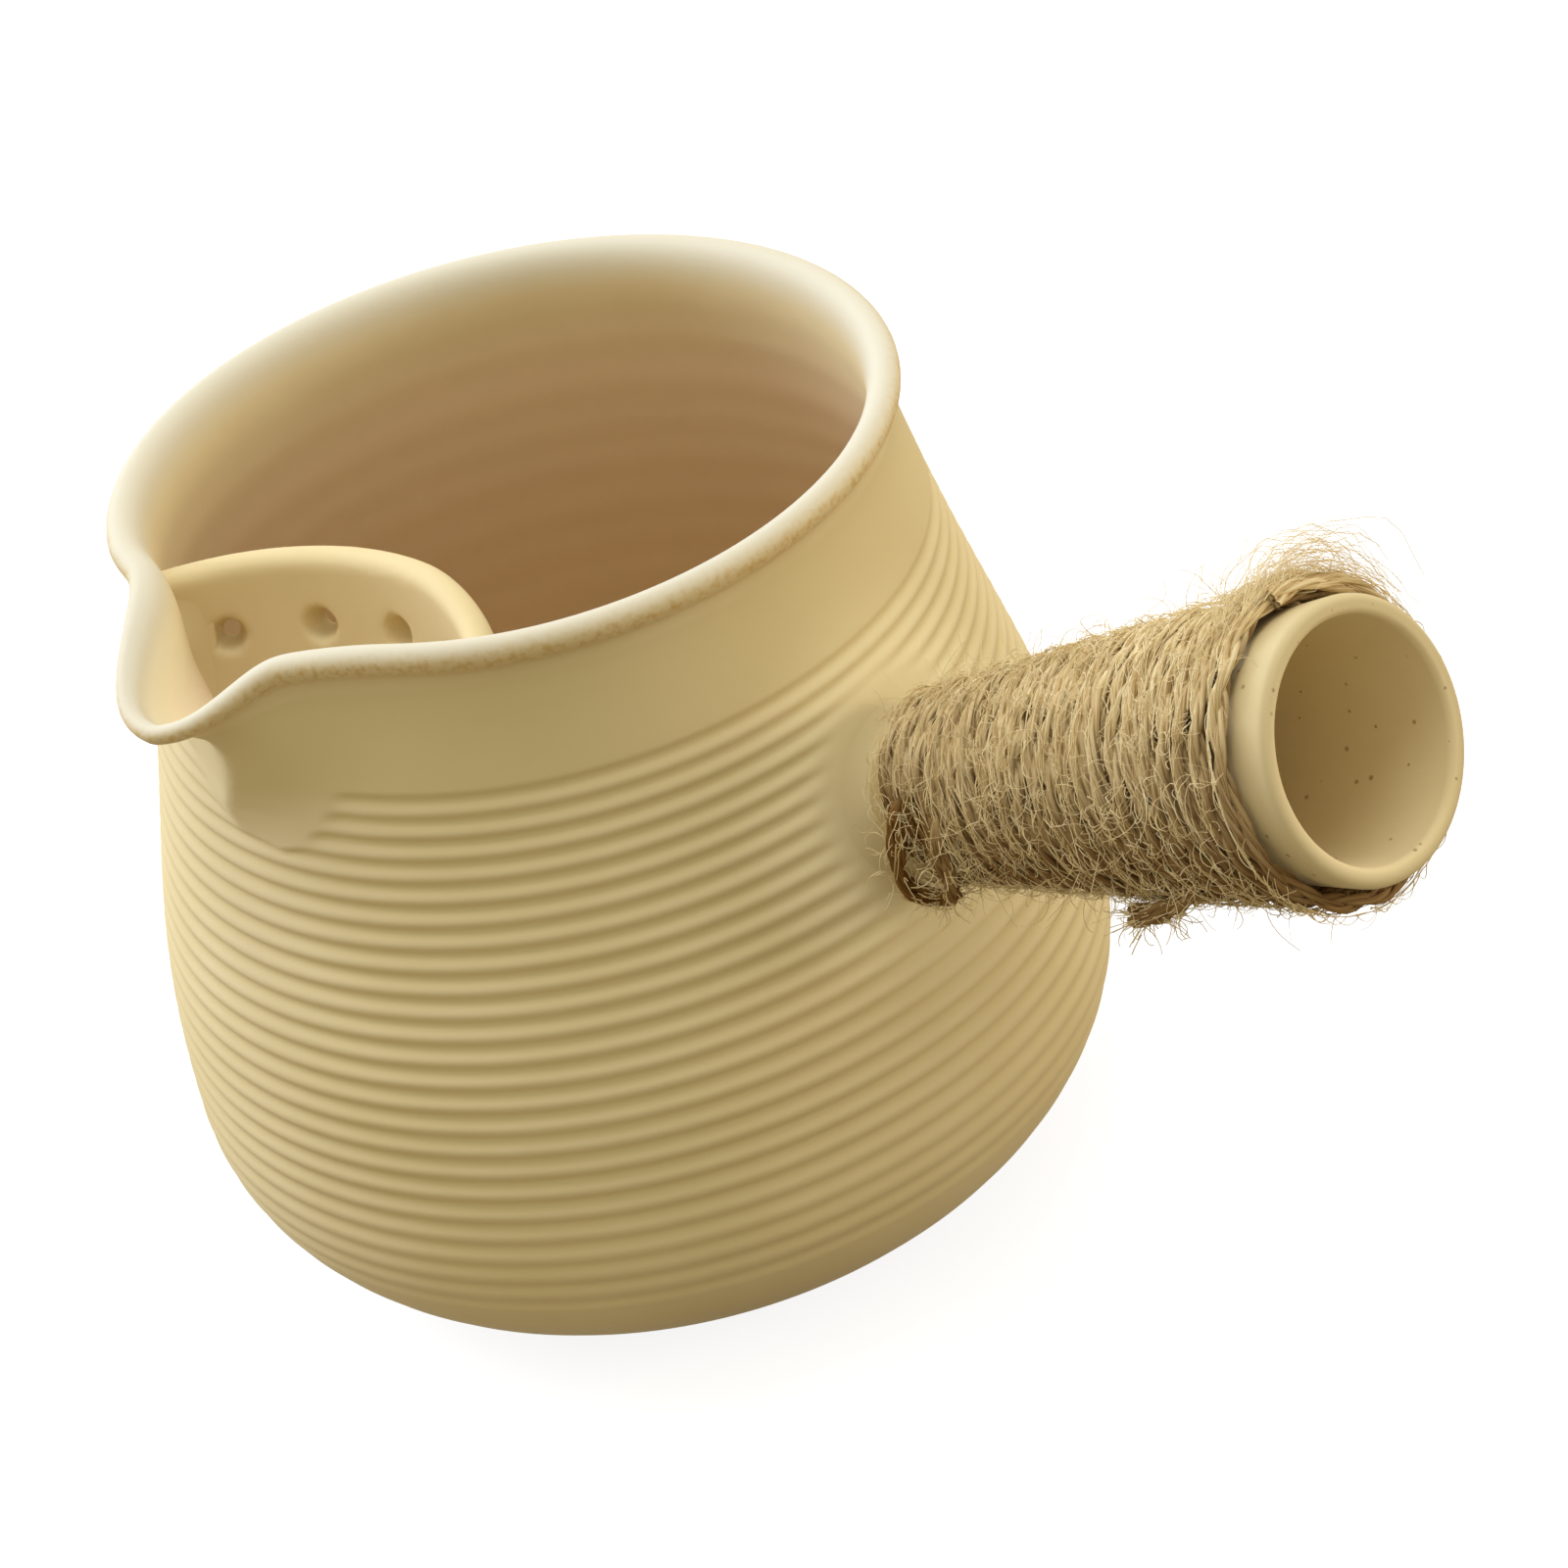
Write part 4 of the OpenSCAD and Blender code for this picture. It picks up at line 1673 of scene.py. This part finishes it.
    def tuft_fibres(self, dice: random.Random) -> list[Strand]:
        """Draws the pale hairs of the unravelled end, which arch over the top beside the ring.

        Args:
            dice: Source of the random draws.

        Returns:
            The hairs.
        """
        kind = self.tuft
        strands = []
        for _ in range(kind.amount):
            first = math.radians(dice.gauss(kind.first_angle, kind.first_spread))
            last = math.radians(dice.gauss(kind.last_angle, kind.last_spread))
            along = dice.uniform(*kind.along)
            drift = dice.gauss(kind.drift, kind.drift_spread)
            if dice.random() < kind.flat_share:
                rise = dice.uniform(*kind.flat_rise)
                along -= dice.uniform(*kind.flat_back)
            else:
                rise = dice.uniform(*kind.high_share) ** 2 * kind.high_rise
            reach = dice.uniform(*kind.reach)
            thick = dice.uniform(*kind.thick)
            strand: Strand = []
            for i in range(kind.points):
                t = reach * i / (kind.points - 1)
                angle = mix(first, last, t)
                r = self.crown(angle, along) + rise * math.sin(math.pi * t) ** kind.arch_power
                kink = kind.kink * waver(t * 6.0, first * 9.0, along * 3.0)
                sway = kind.kink * waver(t * 5.0, first * 7.0, along * 2.0 + 40.0)
                spot = self.around(angle, along + drift * t + sway, r + kink)
                strand.append((spot, thick * (1.0 - kind.taper * t)))
            strands.append(strand)
        return strands

    def cut_fibres(self, path: Sequence[Vector], dice: random.Random) -> list[Strand]:
        """Draws short fibres that spread from the cut end of a path.

        Args:
            path: Middle of the twine.
            dice: Source of the random draws.

        Returns:
            The fibres.
        """
        kind = self.cut_end
        run = (path[-1] - path[-3]).normalized()
        shares = [i / (kind.points - 1) for i in range(kind.points)]
        strands = []
        for _ in range(kind.amount):
            away = Vector([dice.gauss(0.0, kind.spread) for _ in range(3)])
            heading = (run + away).normalized()
            base = path[-4] + away * kind.base_spread
            reach = dice.uniform(*kind.length)
            line = [base + heading * reach * t + away * kind.curl * t**2 for t in shares]
            strands.append([(spot, kind.thick) for spot in line])
        return strands

    def frizz_fibres(self, path: Sequence[Vector], amount: int, dice: random.Random) -> list[Strand]:
        """Draws short curled fibres all round a length of twine that leaves the winding.

        Args:
            path: Middle of the twine.
            amount: Number of fibres.
            dice: Source of the random draws.

        Returns:
            The fibres.
        """
        kind = self.frizz
        strands = []
        for _ in range(amount):
            i = dice.randrange(1, len(path) - 1)
            run = (path[i + 1] - path[i - 1]).normalized()
            out = Vector([dice.gauss(0.0, 1.0) for _ in range(3)])
            out = (out - run * out.dot(run)).normalized()
            spot = path[i] + out * 0.5 * self.diameter
            heading = (run * dice.choice((-1.0, 1.0)) + out * dice.uniform(*kind.outward)).normalized()
            curl = math.radians(dice.uniform(*kind.bend))
            bend = Matrix.Rotation(curl, 3, out.cross(run) * dice.choice((-1.0, 1.0)))
            stride = dice.uniform(*kind.length) / (kind.points - 1)
            strands.append(self.curled(spot, heading, bend, stride, kind.points, 1.0, kind.taper))
        return strands

    def dress(self, jute: bpy.types.Material, fibres: Sequence[bpy.types.Material]) -> None:
        """Builds the twine and its fibres and places them.

        Args:
            jute: Finish of the twine.
            fibres: Finishes of the fibres: pale, tan and dark.
        """
        tail = self.laid(self.tail)
        fold = self.laid(self.fold)
        strands = self.twisted(self.wound())
        strands += self.twisted(fold, self.fold_swell) + self.twisted(tail, self.tail_swell)
        mesh = self.swept("twine", strands, self.yarn_r, self.yarn_sides, [0] * len(strands))
        self.mark_fibres(mesh, strands)
        place_piece("jute_twine", mesh, [jute], Slot.JUTE, "twine_winding")
        dice = random.Random(self.seed)
        frizz = self.frizz_fibres(fold, self.frizz.on_fold, dice)
        frizz += self.frizz_fibres(tail, self.frizz.on_tail, dice)
        lying = self.lying_fibres(dice)
        loose = self.loose_fibres(dice) + self.cut_fibres(tail, dice) + frizz
        tuft = self.tuft_fibres(dice)
        groups = (
            ("lying_fibres", lying, self.lying.shades),
            ("loose_fibres", loose, self.loose.shades),
            ("tuft_of_fibres", tuft, self.tuft.shades),
        )
        for name, hairs, shades in groups:
            kinds = dice.choices(range(len(fibres)), shades, k=len(hairs))
            for i, hair in enumerate(hairs):
                # Fibres that start in painted shade take the tan or dark finish, as shaded copies
                if dice.random() < self.fibre_shade * self.painted_shade(hair[0][0]):
                    kinds[i] = 1 if dice.random() < self.shaded_tan else 2
            mesh = self.swept(name, hairs, self.fibre_r, self.fibre_sides, kinds)
            place_piece(name, mesh, fibres, Slot.JUTE)


@dataclass(frozen=True)
class Lamp:
    """Round soft lamp that looks at the pot: its direction in degrees, its distance and width in metres."""

    name: str
    azimuth: float
    height: float
    away: float
    size: float
    watts: float
    tint: str

    def hang(self, target: Vector) -> None:
        """Adds the lamp to the scene.

        Args:
            target: Point that the lamp looks at, in metres.
        """
        data = bpy.data.lights.new(self.name, "AREA")
        data.shape = "DISK"
        data.size = self.size
        data.energy = self.watts
        data.color = linear(self.tint)[:3]
        level, rise = math.radians(self.azimuth), math.radians(self.height)
        way = Vector((math.cos(level) * math.cos(rise), math.sin(level) * math.cos(rise), math.sin(rise)))
        lamp = new_object(self.name, data)
        lamp.location = target + way * self.away
        lamp.rotation_euler = way.to_track_quat("Z", "Y").to_euler()


@dataclass
class Studio:
    """Camera, lamps, floor and backdrop."""

    lens: float = 146.235
    eye: tuple[float, float, float] = (456.016, -413.781, 434.548)
    turn: tuple[float, float, float] = (56.79987, 12.07699, 38.09658)
    target: tuple[float, float, float] = (0.02, 0.0, 0.05)
    lamps: tuple[Lamp, ...] = (
        Lamp("window", -168.0, 22.0, 1.1, 0.55, 7.9, "#D6E4FF"),
        Lamp("ceiling", 100.0, 82.0, 1.2, 0.8, 5.8, "#F4F7FF"),
        Lamp("skylight", -155.0, 52.0, 1.2, 0.6, 2.5, "#F4F7FF"),
        Lamp("side", 45.0, 7.0, 1.2, 0.32, 4.1, "#FFF0DC"),
    )
    floor_half: float = 6.0
    floor_tint: str = "#85744F"
    floor_glow: float = 0.86
    floor_shade: float = 0.3
    room_tint: str = "#FFFAEA"
    room_light: float = 0.71

    def camera(self) -> None:
        """Places the camera where the photograph was taken from."""
        data = bpy.data.cameras.new("camera")
        data.lens = self.lens
        data.sensor_width = 36.0
        data.clip_start = 0.01
        camera = new_object("camera", data)
        camera.location = Vector(self.eye) * MM
        camera.rotation_euler = Euler([math.radians(a) for a in self.turn])
        bpy.context.scene.camera = camera

    @staticmethod
    def seen_white(tree: bpy.types.NodeTree) -> bpy.types.NodeSocket:
        """Finds the rays that show the backdrop to the camera, also through gloss and glass.

        Args:
            tree: Node tree of the floor or the world.

        Returns:
            Share that is 1 for those rays.
        """
        path = add_node(tree, "ShaderNodeLightPath")
        share = path.outputs["Is Camera Ray"]
        for kind in ("Is Glossy Ray", "Is Transmission Ray"):
            share = add_node(
                tree, "ShaderNodeMath", {0: share, 1: path.outputs[kind]}, operation="MAXIMUM"
            ).outputs["Value"]
        return share

    def floor(self) -> None:
        """Pale floor that is white to the camera and keeps the pot's shadow."""
        bm = bmesh.new()
        bmesh.ops.create_grid(bm, x_segments=1, y_segments=1, size=self.floor_half)
        mesh = mesh_from(bm, "floor")
        material, tree = new_material("pale_floor")
        grey = (self.floor_shade, self.floor_shade, self.floor_shade, 1)
        paper = add_node(tree, "ShaderNodeBsdfDiffuse", {"Color": linear(self.floor_tint)}).outputs["BSDF"]
        glow = add_node(
            tree, "ShaderNodeEmission", {"Color": (1, 1, 1, 1), "Strength": self.floor_glow}
        ).outputs["Emission"]
        thin = add_node(tree, "ShaderNodeBsdfDiffuse", {"Color": grey}).outputs["BSDF"]
        shown = add_node(tree, "ShaderNodeAddShader", {0: glow, 1: thin}).outputs["Shader"]
        shader = add_node(tree, "ShaderNodeMixShader", {0: self.seen_white(tree), 1: paper, 2: shown})
        add_node(tree, "ShaderNodeOutputMaterial", {"Surface": shader.outputs["Shader"]})
        mesh.materials.append(material)
        new_object("floor", mesh)

    def backdrop(self) -> None:
        """Soft room light, shown as white behind the pot."""
        world = bpy.data.worlds.new("studio")
        world.use_nodes = True
        tree = world.node_tree
        tree.nodes.clear()
        tint = linear(self.room_tint)
        room = add_node(tree, "ShaderNodeBackground", {"Color": tint, "Strength": self.room_light})
        white = add_node(tree, "ShaderNodeBackground", {"Color": (1, 1, 1, 1), "Strength": 1.0})
        shader = add_node(
            tree,
            "ShaderNodeMixShader",
            {0: self.seen_white(tree), 1: room.outputs["Background"], 2: white.outputs["Background"]},
        )
        add_node(tree, "ShaderNodeOutputWorld", {"Surface": shader.outputs["Shader"]})
        bpy.context.scene.world = world

    def set_up(self) -> None:
        """Makes the whole studio."""
        bpy.context.scene.view_settings.view_transform = "Standard"
        self.camera()
        for lamp in self.lamps:
            lamp.hang(Vector(self.target))
        self.floor()
        self.backdrop()


def main() -> None:
    """Builds the studio and the teapot's pieces in order."""
    logging.basicConfig(level=logging.INFO, format="%(name)s: %(message)s")
    Studio().set_up()
    clay = ClayFinish().make()
    # The slip collar is paler: partly slip and partly painted light against the handle's shade at its root
    slip = ClayFinish(name="wiped_slip", pale="#EEDFB1", deep="#E8D8A8", grit_height_mm=0.02).make()
    jute = JuteFinish().make()
    # The tan and dark fibres are also the shaded copies used for painted shade on the twine
    fibres = [
        FibreFinish("pale_fibre", "#F5E4B8", "#DEC68E").make(),
        FibreFinish("tan_fibre", "#C8AA6E", "#A4844C").make(),
        FibreFinish("dark_fibre", "#866A3C", "#5C4526").make(),
    ]
    pitted = ClayFinish(
        name="pitted_stoneware",
        # Painted shade: the handle's outer face is darker, standing in for the pot's shadow on it
        rim="#D2C091",
        # Painted shade: a dark under-layer under the winding, seen in the gaps between turns
        inside="#5E4A2C",
        speck_mm=2.0,
        speck_share=0.7,
        speck_size=0.16,
    ).make()
    pot = PotBody()
    pot.dress(clay)
    Strainer(pot).dress(clay)
    handle = Handle(pot)
    handle.dress(pitted, slip)
    TwineWinding(handle).dress(jute, fibres)


if __name__ == "__main__":
    main()
